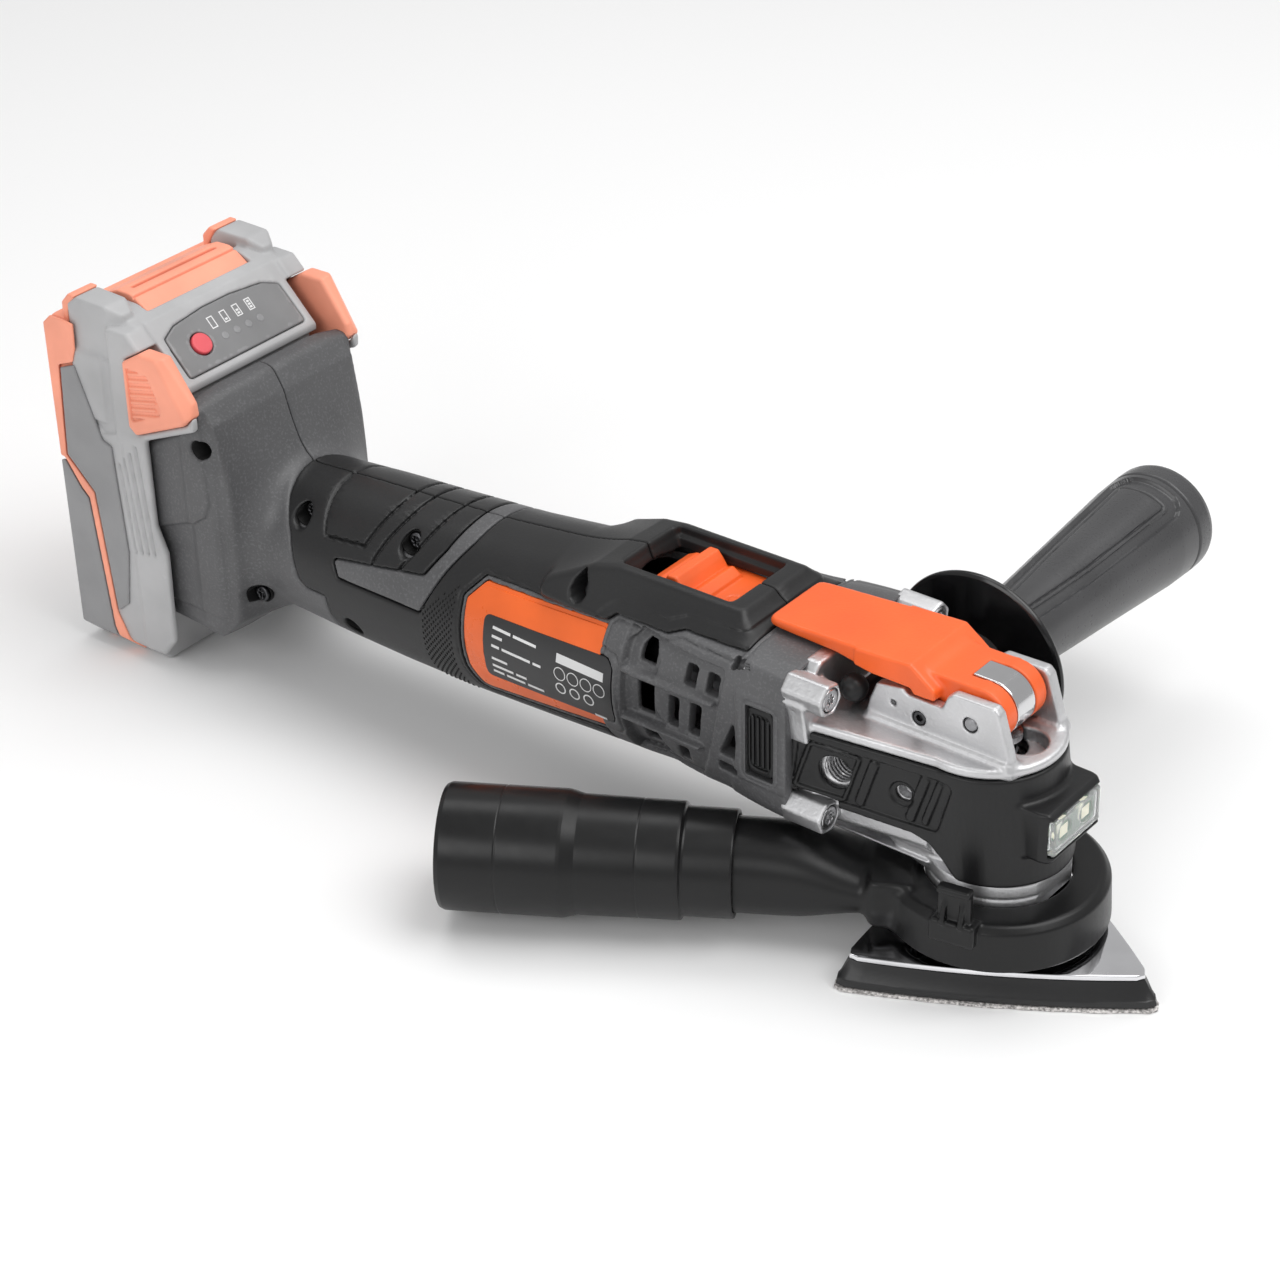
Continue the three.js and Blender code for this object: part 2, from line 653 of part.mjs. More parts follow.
function addMotor() {
  const [rear, front] = MOTOR_SPAN;
  const line = [0, MOTOR_Z];
  const can = bar('x', MOTOR_CAN_R, [rear, front], line, 32)
    .subtract(bar('x', MOTOR_CAN_R - 1.6, [rear - 1, front - 1.6], line, 32))
    .subtract(bar('x', 5, [rear, front + 1], line));
  addPart('motor_can', can, MATERIAL.steel);

  const magnets = bar('x', MOTOR_CAN_R - 1.9, [rear + 6, front - 8], line, 32)
    .subtract(bar('x', 12.6, [rear, front], line, 32));
  addPart('motor_magnet_ring', magnets, MATERIAL.darkSteel);

  const endBell = bar('x', MOTOR_CAN_R, [rear - 7.5, rear - GAP], line, 32)
    .subtract(bar('x', 12, [rear - 5, rear + 1], line, 24))
    .subtract(bar('x', 3, [rear - 9, rear + 1], line));
  addPart('motor_end_bell', endBell, MATERIAL.blackPlastic);

  const journal = [0, MOTOR_Z + ECCENTRICITY];
  const shaft = union(
    bar('x', 2.4, [rear - 9, -34], line, 16),
    bar('x', 4.4, [-37, -32.4], line, 20),
    bar('x', 2.9, [-32.5, -23.4], journal, 20),
  );
  addPart('motor_shaft', shaft, MATERIAL.steel);

  const sleeve = (name, outer, [from, to], look, inner = 2.4 + GAP, centre = line) => {
    const ring = bar('x', outer, [from, to], centre, 28);
    addPart(name, ring.subtract(bar('x', inner, [from - 1, to + 1], centre, 16)), look);
  };
  sleeve('armature', 12, [rear + 8, front - 10], MATERIAL.copper);
  sleeve('commutator', 7, [rear - 3.5, rear + 6], MATERIAL.brass);
  sleeve('front_bearing', 7.6, [-56, -50.6], MATERIAL.steel);
  sleeve('eccentric_bearing', ECCENTRIC_BEARING_R, [-31.8, -25], MATERIAL.steel, 3 + GAP, journal);

  const fanDisc = bar('x', 17, [-70.6, -69], line, 32);
  const fanHub = bar('x', 5, [-72, -66], line);
  let fan = fanDisc.add(fanHub);
  const bladeCount = 9;
  for (let i = 0; i < bladeCount; i += 1) {
    const place = new THREE.Matrix4().makeTranslation(0, 0, MOTOR_Z);
    place.multiply(new THREE.Matrix4().makeRotationX((2 * Math.PI * i) / bladeCount));
    fan = fan.add(moved(box([-69.5, -63.5], [-0.7, 0.7], [4, 16.6]), place));
  }
  addPart('cooling_fan', fan.subtract(bar('x', 2.4 + GAP, [-80, -60], line, 16)), MATERIAL.blackPlastic);

  const weight = bar('x', 7.6, [-46, -40], line, 28)
    .subtract(box([-47, -39], [-12, 12], [MOTOR_Z + 3.4, MOTOR_Z + 12]))
    .subtract(bar('x', 2.4 + GAP, [-47, -39], line, 16));
  addPart('counterweight', weight, MATERIAL.brass);
}

// ---------------------------------------------------------------- body shells and overmould

// Moves every edge of an outline inwards by a distance. The outline runs counter-clockwise.
function shrunk(points, distance) {
  return points.map((point, i) => {
    const before = new THREE.Vector2(...points[(i + points.length - 1) % points.length]);
    const here = new THREE.Vector2(...point);
    const after = new THREE.Vector2(...points[(i + 1) % points.length]);
    const first = here.clone().sub(before).normalize();
    const second = after.clone().sub(here).normalize();
    const firstNormal = new THREE.Vector2(-first.y, first.x);
    const secondNormal = new THREE.Vector2(-second.y, second.x);
    const miter = firstNormal.clone().add(secondNormal);
    const reach = distance / (0.5 * miter.lengthSq());
    return [here.x + miter.x * reach, here.y + miter.y * reach];
  });
}

// Window for the label, on each side of the body, in X and Z.
const LABEL_WINDOW = [
  [-168.6, 42],
  [-166, 34.6],
  [-163, 33.2],
  [-112, 38.8],
  [-112, 74.4],
  [-164.6, 70.6],
  [-170.4, 64],
];

const RATING_PLATE = [
  [-159.6, 42.2],
  [-112, 44],
  [-111.2, 46],
  [-111.2, 62.6],
  [-113.2, 65.2],
  [-160.4, 62.2],
];

// Hard insert that shows through the grip, shaped like a hockey stick that wraps over the top.
const GRIP_INSERT = [
  [-223.2, 58],
  [-220, 52.8],
  [-185.8, 53.6],
  [-179, 67.5],
  [-175, 74.1],
  [-172, 84],
  [-180.2, 84],
  [-181.2, 76.3],
  [-182.8, 71],
  [-187, 64],
];

// Edge between the overmould and the hard front housing around the switch.
const SADDLE_EDGE = [
  [-142, 73.4],
  [-119.6, 73.4],
  [-116.8, 74.4],
  [-114.2, 76.6],
  [-95.4, 77.4],
  [-90, 79.8],
  [-70, 81],
  [-70, 96],
  [-142, 96],
];

const SWITCH_DOME_SIDE = [
  [-142, 76],
  [-70, 76],
  [-70.6, 80],
  [-76, 88],
  [-119, 87.2],
  [-127, 85.6],
  [-138, 80],
];

const SWITCH_DOME_FRONT = [
  [-24, 72],
  [24, 72],
  [21.5, 77.5],
  [14.5, 88.5],
  [-14.5, 88.5],
  [-21.5, 77.5],
];

// Deep screw recesses in the right half, as [x, |y| of the floor, z].
const SHOE_SCREWS = [
  [-267, 25, 85],
  [-256, 22, 34],
];
const GRIP_SCREWS = [
  [-240.3, 12, 64.3],
  [-196.7, 13, 68.6],
  [-217.6, 14, 35.5],
];
const SWITCH_SCREW = [-128.5, 8, 79.4];

function wrapOuter() {
  return barrel(BODY_STATIONS);
}

function wrapInset(amount) {
  return barrel(inset(BODY_STATIONS, amount));
}

function coverRegion(margin) {
  const sleeve = box([COVER_REAR_X - margin, COVER_FRONT_X + margin], [-50, 50], [-5, 120]);
  return sleeve.add(sidePlate(shrunk(SADDLE_EDGE, -margin), [-40, 40]));
}

// Hollow where the switch slider runs.
function switchChannel(top) {
  return box([-122, -74.6], [-13.6, 13.6], [SLIDER_BOTTOM - GAP, top]);
}

function shoeOutside() {
  const side = sidePlate(
    [
      [SHOE_REAR_X, 19],
      [-270, 17.5],
      [-262, 24],
      [-262, 82],
      [-264.6, 95],
      [-267, SHOE_TOP],
      [-271.5, SHOE_TOP],
      [-271.5, 91.4],
      [SHOE_REAR_X, 79.6],
    ],
    [-SHOE_HALF, SHOE_HALF],
  );
  const plan = [
    [SHOE_REAR_X, -SHOE_HALF],
    [-270, -SHOE_HALF],
    [-262, -28.5],
    [-262, 28.5],
    [-270, SHOE_HALF],
    [SHOE_REAR_X, SHOE_HALF],
  ];
  return side.intersect(planPlate(plan, [10, 110]));
}

function frontVents() {
  const rows = [
    { z: [66.8, 73.2], slots: [[-103.6, -98], [-86.4, -82.4], [-79, -75]] },
    { z: [51.4, 61.6], slots: [[-103.2, -97.8], [-91.6, -88.2], [-84.6, -81]] },
    { z: [39.8, 45.2], slots: [[-103, -97.6], [-89.2, -85.8]] },
  ];
  const cuts = rows.flatMap(({ z, slots }) => slots.map((slot) => box(slot, [-40, -15], z)));
  const corner = sidePlate(
    [
      [-72.6, 50.2],
      [-67.2, 50.2],
      [-68, 62],
    ],
    [-40, -15],
  );
  return union(...cuts, corner, box([-73.2, -66.4], [-40, -15], [45, 47.4]));
}

function addShells() {
  const cavityStations = BODY_STATIONS.filter(([x]) => x >= -263);
  const wallAt = (x) => (x <= COVER_FRONT_X ? COVER_WALL + GAP + SHELL_WALL : SHELL_WALL + 0.6);
  const cavity = barrel(inset(cavityStations, wallAt));
  const frontEnd = box([-53, -40], [-27, 27], [38, 82]);

  const bare = wrapOuter().subtract(coverRegion(GAP));
  const covered = wrapInset(COVER_WALL + GAP);
  const insert = wrapInset(0.5).intersect(sidePlate(shrunk(GRIP_INSERT, GAP), [-40, 40]));
  let body = union(bare, covered, insert, shoeOutside()).subtract(cavity).subtract(frontEnd);

  for (const [y, z] of gearScrewSeats()) {
    body = body.add(bar('x', 4.4, [-68, -52.2], [y, z]).intersect(wrapOuter()));
  }
  for (const [y, z] of gearScrewSeats()) {
    body = body.subtract(bar('x', 2.2, [-70, -50], [y, z], 12));
  }

  const pocket = box([SHOE_REAR_X - 1, -275], [-POCKET_HALF, POCKET_HALF], [22, 105]);
  const shoeHollow = box([-271.6, -261], [-24, 24], [30, 84]);
  const terminalWindow = box([-276, -270], [-16.5, 16.5], [39.5, 70.5]);
  body = body.subtract(pocket).subtract(shoeHollow).subtract(terminalWindow);
  const ledge = box([-122, -74.6], [-21, -9], [SLIDER_BOTTOM - GAP - 2.4, SLIDER_BOTTOM - GAP]);
  body = union(body, ledge.intersect(covered), mirrored(ledge).intersect(covered));
  body = body.subtract(switchChannel(95));
  const rail = box([-289.4, -286.2], [-POCKET_HALF - 1, -24.4], [30, 90]);
  body = body.add(rail).add(mirrored(rail));

  const padSeat = box([-63.6, -53.6], [-40, -26.4], [47.4, 70.6]);
  const sideCuts = union(frontVents(), padSeat, plateSeat());
  body = body.subtract(sideCuts).subtract(mirrored(sideCuts));

  let right = body.intersect(box([-300, -40], [-60, -SEAM], [0, 120]));
  const left = body.intersect(box([-300, -40], [SEAM, 60], [0, 120]));
  for (const [x, floor, z] of [...SHOE_SCREWS, ...GRIP_SCREWS]) {
    right = right.subtract(bar('y', 3.3, [-45, -floor], [x, z]));
  }
  addPart('housing_shell_right', right, MATERIAL.shell);
  addPart('housing_shell_left', left, MATERIAL.shell);
}

function addOvermould() {
  const dome = sidePlate(SWITCH_DOME_SIDE, [-40, 40]).intersect(frontPlate(SWITCH_DOME_FRONT, [-150, -60]));
  const opening = box([-117, -82], [-11.6, 11.6], [SLIDER_BOTTOM, 95]);
  let cover = wrapOuter().add(dome).intersect(coverRegion(0)).subtract(wrapInset(COVER_WALL));
  cover = cover.subtract(opening).subtract(switchChannel(SLIDER_BOTTOM + 2.4 + GAP));
  cover = cover.subtract(sidePlate(GRIP_INSERT, [-60, 60]));
  cover = cover.subtract(box([-280, COVER_REAR_X + GAP], [-60, 60], [0, 120]));
  const label = sidePlate(LABEL_WINDOW, [-60, -12]);
  cover = cover.subtract(label).subtract(mirrored(label));
  let right = cover.intersect(box([-300, -40], [-60, -SEAM], [0, 120]));
  const left = cover.intersect(box([-300, -40], [SEAM, 60], [0, 120]));
  for (const [x, floor, z] of [...GRIP_SCREWS, SWITCH_SCREW]) {
    right = right.subtract(bar('y', 3.3, [-45, -floor], [x, z]));
  }
  addPart('grip_cover_right', right, MATERIAL.overmould);
  addPart('grip_cover_left', left, MATERIAL.overmould);
}

// Recess for the rating plate, cut into the inlay and on into the bare shell in front of it.
function plateSeat() {
  return sidePlate(shrunk(RATING_PLATE, -GAP), [-60, -12]).subtract(wrapInset(1));
}

function addLabels() {
  const side = box([-200, -100], [-60, -12], [0, 120]);
  const windowFill = sidePlate(shrunk(LABEL_WINDOW, GAP), [-60, -12]);
  const plateFill = sidePlate(RATING_PLATE, [-60, -12]);
  const beforeShell = box([-200, COVER_FRONT_X - GAP], [-60, -12], [0, 120]);
  const sheet = wrapInset(0.3).subtract(wrapInset(1.8)).intersect(windowFill).intersect(beforeShell);
  const inlay = sheet.intersect(side).subtract(plateSeat());
  addPair('label_inlay', inlay, MATERIAL.orange);
  const plate = wrapInset(0.15).subtract(wrapInset(0.7)).intersect(plateFill).intersect(side);
  addPair('rating_plate', plate, MATERIAL.gauge);
}

function addSidePads() {
  let pad = box([-63, -54.2], [-30.2, -26.8], [48, 70]);
  for (const x of [-61, -58.6, -56.2]) {
    pad = pad.subtract(box([x - 0.4, x + 0.4], [-31, -29.4], [50, 68]));
  }
  addPair('side_pad', pad, MATERIAL.overmould);
}

// ---------------------------------------------------------------- switch, link and electronics

function addSwitch() {
  const plate = box([-113, -84], [-13.2, 13.2], [SLIDER_BOTTOM, SLIDER_BOTTOM + 2.4]);
  const ridge = sidePlate(
    [
      [-108, 80],
      [-98, 80],
      [-99.6, 82.4],
      [-102, 85.2],
      [-105, 85.2],
      [-107, 82.6],
    ],
    [-8, 8],
  );
  addPart('switch_slider', plate.add(ridge), MATERIAL.orange);
  const link = sidePlate(
    [
      [-166, 69.4],
      [-157, 69.4],
      [-147, 74.1],
      [-104, 74.1],
      [-104, 77.9],
      [-108, 77.9],
      [-108, 75.2],
      [-147.4, 75.2],
      [-157.4, 70.6],
      [-166, 70.6],
    ],
    [-3.5, 3.5],
  );
  addPart('switch_link', link, MATERIAL.blackPlastic);
  addPart('switch_module', box([-192, -166.6], [-8, 8], [57.5, 68.6]), MATERIAL.blackPlastic);
  addPart('control_board', box([-240, -172], [-15, 15], [41, 42.6]), MATERIAL.board);
}

function addTerminals() {
  let block = box([-275.6, -268], [-16, 16], [40, 70]);
  for (const y of [-10, 0, 10]) {
    block = block.add(box([-283.6, -275], [y - 0.5, y + 0.5], [44, 58]));
  }
  addPart('terminal_block', block, MATERIAL.brass);
}

// ---------------------------------------------------------------- dust adapter and hose adapter

// Tapering tube along the duct. Stations are
// [distance from the spindle, centre height, half width, half height].
function ductTube(stations, sides = 20) {
  const along = barrel(stations.map(([d, z, w, h]) => [d, z, w, h, 2.2]), sides);
  return moved(along, new THREE.Matrix4().makeRotationZ(DUCT_ANGLE));
}

function addDustAdapter() {
  const ring = turned('z', [
    [COLLAR_R + GAP, 22],
    [COLLAR_R + GAP, RING_TOP],
    [29, RING_TOP],
    [30.8, 25.6],
    [RING_R, RING_BOTTOM],
    [RING_R - 2.2, RING_BOTTOM],
    [28.4, 22],
  ]);
  const outer = ductTube([
    [24, 20.4, 15, 6.4],
    [36, 20.6, 14.6, 6.8],
    [50, 21, 13.6, 12],
    [64, DUCT_Z, 13, 13],
    [84, DUCT_Z, 13, 13],
  ]);
  const inner = ductTube([
    [22, 19.6, 12.8, 4.4],
    [36, 20.6, 12.4, 4.8],
    [50, 21, 11.4, 9.8],
    [64, DUCT_Z, 11, 11],
    [85, DUCT_Z, 11, 11],
  ]);
  const core = bar('z', 28, [0, 50], [0, 0], FINE);
  const duct = outer.subtract(core);
  const clip = union(
    box([-4.8, 4.8], [-30.6, -28.2], [25, 38.5]),
    box([-3, -1.6], [-33, -30.4], [25, 34]),
    box([1.6, 3], [-33, -30.4], [25, 34]),
    box([-6, 6], [-33.4, -26], [22.5, 26.4]),
  );
  const tab = moved(clip, new THREE.Matrix4().makeRotationZ(CLIP_ANGLE));
  const body = ring.add(duct).add(tab).subtract(inner.subtract(bar('z', 21.5, [0, 50], [0, 0], FINE)));
  addPart('dust_adapter', body, MATERIAL.blackPlastic);

  const hose = turned('x', [
    [13.9, 71.8],
    [15.4, 71.8],
    [15.4, 86],
    [16.6, 87.4],
    [17, 116],
    [18.1, 120],
    [18.1, 153.4],
    [17.4, 154.4],
    [15.8, 154.4],
    [15.8, 118],
    [14.6, 114],
    [13.9, 90],
  ], [0, DUCT_Z], 24);
  addPart('hose_adapter', moved(hose, new THREE.Matrix4().makeRotationZ(DUCT_ANGLE)), MATERIAL.overmould);
}

// ---------------------------------------------------------------- side handle

function addSideHandle() {
  const grip = turned('y', [
    [HANDLE_THREAD_R + 0.2, 28.6],
    [9, 28.6],
    [9, GUARD_Y - 1.6],
    [GUARD_R, GUARD_Y - 1.4],
    [GUARD_R, GUARD_Y + 0.8],
    [12.4, GUARD_Y + 2],
    [12.2, 56],
    [13.4, 76],
    [15.6, 106],
    [17.6, 132],
    [18, 144],
    [17.2, 148.6],
    [15, HANDLE_END_Y],
    [0, HANDLE_END_Y],
    [0, 64],
    [HANDLE_THREAD_R + 0.2, 64],
  ], [HANDLE_X, HANDLE_Z]);
  addPart('handle_grip', grip, MATERIAL.blackPlastic);
  const stud = bar('y', HANDLE_THREAD_R - GAP, [17, 63], [HANDLE_X, HANDLE_Z], 24);
  addPart('handle_stud', stud, MATERIAL.steel);
}

// ---------------------------------------------------------------- battery

function packBevel(half, zRange, bevel) {
  const [z0, z1] = zRange;
  return frontPlate(
    [
      [-half + bevel, z0],
      [half - bevel, z0],
      [half, z0 + bevel],
      [half, z1 - bevel],
      [half - bevel, z1],
      [-half + bevel, z1],
      [-half, z1 - bevel],
      [-half, z0 + bevel],
    ],
    [-340, -250],
  );
}

function addBattery() {
  const bevelled = packBevel(PACK_HALF, [0, 120], 6);
  const caseBody = box([-317, PACK_FRONT_X], [-PACK_HALF, PACK_HALF], [0, PACK_TOP]).intersect(bevelled);
  const head = sidePlate(
    [
      [-305, 99],
      [-274.6, 99],
      [-274.6, 101.5],
      [-291.5, 118.4],
      [-300, 121],
      [-305, 121],
    ],
    [-30, 30],
  );
  const cheekSide = sidePlate(
    [
      [-300, 78],
      [PACK_FRONT_X, 80.2],
      [-272, 91.8],
      [-266.5, 99.2],
      [-272, 106],
      [-283, 117.4],
      [-300, 117.4],
    ],
    [-PACK_HALF, PACK_HALF],
  );
  const cheekLimit = union(
    box([-300, -260], [-36, -SHOE_HALF - GAP], [70, 125]),
    box([-300, -260], [-36, -29], [99, 125]),
    box([-300, -272], [-36, -29], [92.2, 125]),
  );
  const cheek = cheekSide.intersect(cheekLimit);
  const horn = box([-316.6, -300], [-36, -24.5], [PACK_TOP - 4, 124.5]);
  const railBlock = box([-293, -276.6], [-27.1, 27.1], [24, 100]);
  const groove = box([-289.8, -285.8], [-30, -24], [20, 98.6]);
  let front = union(caseBody, head, cheek, mirrored(cheek), horn, mirrored(horn), railBlock);
  front = front.subtract(groove).subtract(mirrored(groove));
  for (const y of [-10, 0, 10]) {
    front = front.subtract(box([-285, -276], [y - 1, y + 1], [20, 62]));
  }
  front = front.subtract(box([-318, -294.6], [-34, 34], [4, 106]));
  front = front.subtract(box([-317.5, -301.4], [-22.3, 22.3], [PACK_TOP - 2, 125]));
  const buttonSeat = releaseButtonOutline(-GAP).intersect(box([-300, -260], [-40, -28.2], [80, 120]));
  front = front.subtract(buttonSeat).subtract(mirrored(buttonSeat));
  const gaugeSeat = gaugePlate(GAP, [-1.6, 5]);
  const gaugeButtonWell = gaugeButtonBar(3.9, [-5, 5]);
  addPart('battery_case_front', front.subtract(gaugeSeat).subtract(gaugeButtonWell), MATERIAL.packGrey);

  const bandProfile = [
    [-317.3, 0],
    [-317.3, 116],
    [-324, 116],
    [PACK_BACK_X, 113],
    [PACK_BACK_X, 66],
    [-320.6, 60],
    [-320.6, 0],
  ];
  const band = sidePlate(bandProfile, [-36, 36]).intersect(packBevel(36, [0, 120], 5));
  addPart('battery_band', band, MATERIAL.packOrange);
  const rearProfile = [
    [-320.9, 0],
    [-320.9, 59.6],
    [PACK_BACK_X, 65.5],
    [PACK_BACK_X, 4],
    [-325, 0],
  ];
  const rear = sidePlate(rearProfile.reverse(), [-36.6, 36.6]).intersect(packBevel(36.6, [0, 120], 5));
  addPart('battery_case_rear', rear, MATERIAL.packDark);

  const bumperProfile = [
    [-317, PACK_TOP - 1.4],
    [-301.8, PACK_TOP - 1.4],
    [-301.8, 122.6],
    [-316, 119.4],
  ];
  const bumper = sidePlate(bumperProfile, [-22, 22]);
  const bumperSlot = box([-311, -309], [-18, 18], [118, 126]);
  addPart('battery_bumper', bumper.subtract(bumperSlot), MATERIAL.packOrange);

  let cells = box([-301, -298], [-32, 32], [6, 104]);
  const cellCount = 5;
  for (let i = 0; i < cellCount; i += 1) {
    cells = cells.add(bar('y', 9.1, [-32.5, 32.5], [-306.4, 16 + i * 19.4], 20));
  }
  addPart('battery_cells', cells, MATERIAL.cell);

  addPair('release_button', releaseButton(), MATERIAL.packOrange);
  addPart('fuel_gauge_panel', gaugePlate(0, [-1.2, 0]).subtract(gaugeButtonWell), MATERIAL.gauge);
  addPart('gauge_button', gaugeButtonBar(3.5, [-3.4, 0.9]), MATERIAL.gaugeRed);
}

// Plate lying on the sloping top of the pack, between two heights above the slope.
function gaugePlate(margin, [low, high]) {
  const points = [
    [-24, -8.2],
    [24, -8.2],
    [29, -2],
    [20.5, 8.2],
    [-20.5, 8.2],
    [-29, -2],
  ];
  const settings = { depth: high - low, bevelEnabled: false };
  const geometry = new THREE.ExtrudeGeometry(outline(shrunk(points, -margin)), settings);
  geometry.translate(0, 0, low);
  return onSlope(geometry);
}

function gaugeButtonBar(radius, [low, high]) {
  const geometry = new THREE.CylinderGeometry(radius, radius, high - low, 24);
  geometry.rotateX(Math.PI / 2);
  geometry.translate(-14, -1.5, (low + high) / 2);
  return onSlope(geometry);
}

// Takes X across the tool, Y up the slope and Z out of it.
function onSlope(geometry) {
  geometry.rotateZ(Math.PI / 2);
  const place = new THREE.Matrix4();
  const across = new THREE.Vector3(0, 1, 0);
  const outward = new THREE.Vector3(Math.sin(GAUGE_SLOPE), 0, Math.cos(GAUGE_SLOPE));
  const upSlope = new THREE.Vector3(Math.cos(GAUGE_SLOPE), 0, -Math.sin(GAUGE_SLOPE));
  place.makeBasis(upSlope, across, outward);
  place.setPosition(-283.1, 0, 110);
  geometry.applyMatrix4(place);
  return solid(geometry);
}

function releaseButtonOutline(margin) {
  const points = [
    [-292, 85.4],
    [-272.4, 94.4],
    [-272.4, 99.4],
    [-268.4, 99.6],
    [-280, 113.4],
    [-290, 113.4],
    [-292, 110],
  ];
  return sidePlate(shrunk(points, margin), [-60, 0]);
}

function releaseButton() {
  let button = releaseButtonOutline(0).intersect(box([-300, -260], [-38.4, -32.4], [80, 120]));
  for (let i = 0; i < 5; i += 1) {
    const z = 92 + i * 4;
    button = button.subtract(box([-290, -281], [-40, -37.9], [z - 0.5, z + 0.5]));
  }
  return button;
}

// ---------------------------------------------------------------- assembly

addShells();
addOvermould();
addLabels();
addSidePads();
addGearCase();
addGearScrews();
addHeadCover();
addCaseHardware();
addSpindle();
addClamp();
addLever();
addMotor();
addSwitch();
addTerminals();
addPad();
addDustAdapter();
addSideHandle();
addBattery();

export default tool;
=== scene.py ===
import json
import math

import bpy
import numpy as np
from mathutils import Matrix, Vector

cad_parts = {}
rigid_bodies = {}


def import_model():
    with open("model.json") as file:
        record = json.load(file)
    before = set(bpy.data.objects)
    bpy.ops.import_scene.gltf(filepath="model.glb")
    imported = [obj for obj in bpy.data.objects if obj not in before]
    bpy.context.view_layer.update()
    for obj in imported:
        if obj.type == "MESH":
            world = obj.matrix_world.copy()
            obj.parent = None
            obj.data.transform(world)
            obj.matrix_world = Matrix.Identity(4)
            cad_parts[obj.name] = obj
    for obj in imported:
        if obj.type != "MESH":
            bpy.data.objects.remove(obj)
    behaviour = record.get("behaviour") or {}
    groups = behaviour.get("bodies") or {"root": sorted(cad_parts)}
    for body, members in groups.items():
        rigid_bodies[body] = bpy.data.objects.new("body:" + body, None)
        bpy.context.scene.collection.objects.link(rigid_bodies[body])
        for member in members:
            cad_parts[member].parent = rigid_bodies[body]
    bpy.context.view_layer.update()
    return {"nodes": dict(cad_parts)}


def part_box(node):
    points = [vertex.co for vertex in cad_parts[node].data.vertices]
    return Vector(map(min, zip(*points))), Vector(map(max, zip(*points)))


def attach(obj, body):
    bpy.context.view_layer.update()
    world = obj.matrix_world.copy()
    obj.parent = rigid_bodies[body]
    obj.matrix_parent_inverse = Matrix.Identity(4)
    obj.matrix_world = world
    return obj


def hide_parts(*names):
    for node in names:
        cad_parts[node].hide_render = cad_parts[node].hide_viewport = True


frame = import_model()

# The visual model of a cordless oscillating multi tool. Moulded and cast pieces are signed distance
# fields on a grid, in millimetres, cut and joined with soft edges and turned into meshes.
# Round pieces are turned profiles. The right half of the tool is at -Y and its left half at +Y.

MM = 0.001
for default in [o for o in bpy.data.objects if o.name in ("Cube", "Light", "Camera")]:
    bpy.data.objects.remove(default)


def box_mm(node):
    """Lowest and highest corner of a CAD node, in millimetres."""
    low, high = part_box(node)
    return np.array(low) / MM, np.array(high) / MM


# ------------------------------------------------------------------ fields: joining and cutting


def join(a, b, k=0.0):
    """Union of two fields, with a fillet about k wide."""
    if k <= 0:
        return np.minimum(a, b)
    h = np.maximum(k - np.abs(a - b), 0) / k
    return np.minimum(a, b) - h * h * (k / 4)


def meet(a, b, k=0.0):
    return -join(-a, -b, k)


def cut(a, b, k=0.0):
    return -join(-a, b, k)


def round_meet(a, b, edge):
    """Where both fields are inside, with a true round edge."""
    if edge <= 0:
        return np.maximum(a, b)
    outside = np.sqrt(np.maximum(a + edge, 0) ** 2 + np.maximum(b + edge, 0) ** 2)
    return np.minimum(np.maximum(a, b) + edge, 0) + outside - edge


def ramp(distance, width=0.5):
    """1 inside, 0 outside, and a smooth slope of that width between them."""
    t = np.clip(0.5 - distance / width, 0, 1)
    return t * t * (3 - 2 * t)


# ------------------------------------------------------------------ fields: outlines


def soften(points, radius, steps=4):
    """Rounds every corner of a closed outline."""
    if radius <= 0:
        return list(points)
    rounded = []
    for i, here in enumerate(points):
        here = np.array(here, float)
        before = np.array(points[i - 1], float) - here
        after = np.array(points[(i + 1) % len(points)], float) - here
        size_before, size_after = np.linalg.norm(before), np.linalg.norm(after)
        before, after = before / size_before, after / size_after
        angle = math.acos(float(np.clip(before @ after, -1, 1)))
        reach = min(radius / max(math.tan(angle / 2), 0.01), 0.45 * size_before, 0.45 * size_after)
        for t in np.linspace(0, 1, steps + 1):
            rounded.append(tuple(here + before * reach * (1 - t) ** 2 + after * reach * t * t))
    return rounded


def polygon(points):
    """Signed distance to a closed outline, negative inside."""
    def distance(u, v):
        best, inside = None, None
        for (au, av), (bu, bv) in zip(points, points[1:] + points[:1]):
            eu, ev = bu - au, bv - av
            wu, wv = u - au, v - av
            t = np.clip((wu * eu + wv * ev) / max(eu * eu + ev * ev, 1e-9), 0, 1)
            gap = (wu - eu * t) ** 2 + (wv - ev * t) ** 2
            best = gap if best is None else np.minimum(best, gap)
            above, below, side = v >= av, v < bv, eu * wv > ev * wu
            flip = (above & below & side) | (~above & ~below & ~side)
            inside = flip if inside is None else inside ^ flip
        return np.where(inside, -1, 1).astype(np.float32) * np.sqrt(best).astype(np.float32)
    return distance


def polyline(points):
    """Distance to an open line."""
    def distance(u, v):
        best = None
        for (au, av), (bu, bv) in zip(points, points[1:]):
            eu, ev = bu - au, bv - av
            t = np.clip(((u - au) * eu + (v - av) * ev) / (eu * eu + ev * ev), 0, 1)
            gap = (u - au - eu * t) ** 2 + (v - av - ev * t) ** 2
            best = gap if best is None else np.minimum(best, gap)
        return np.sqrt(best).astype(np.float32)
    return distance


# ------------------------------------------------------------------ fields: solid shapes


class Shape:
    """A signed distance in space, and the box outside which it is certainly positive."""

    def __init__(self, distance, low, high):
        self.distance = distance
        self.low = np.array(low, float)
        self.high = np.array(high, float)

    def __call__(self, x, y, z):
        return self.distance(x, y, z)


ORDER = {"x": (1, 2, 0), "y": (0, 2, 1), "z": (0, 1, 2)}


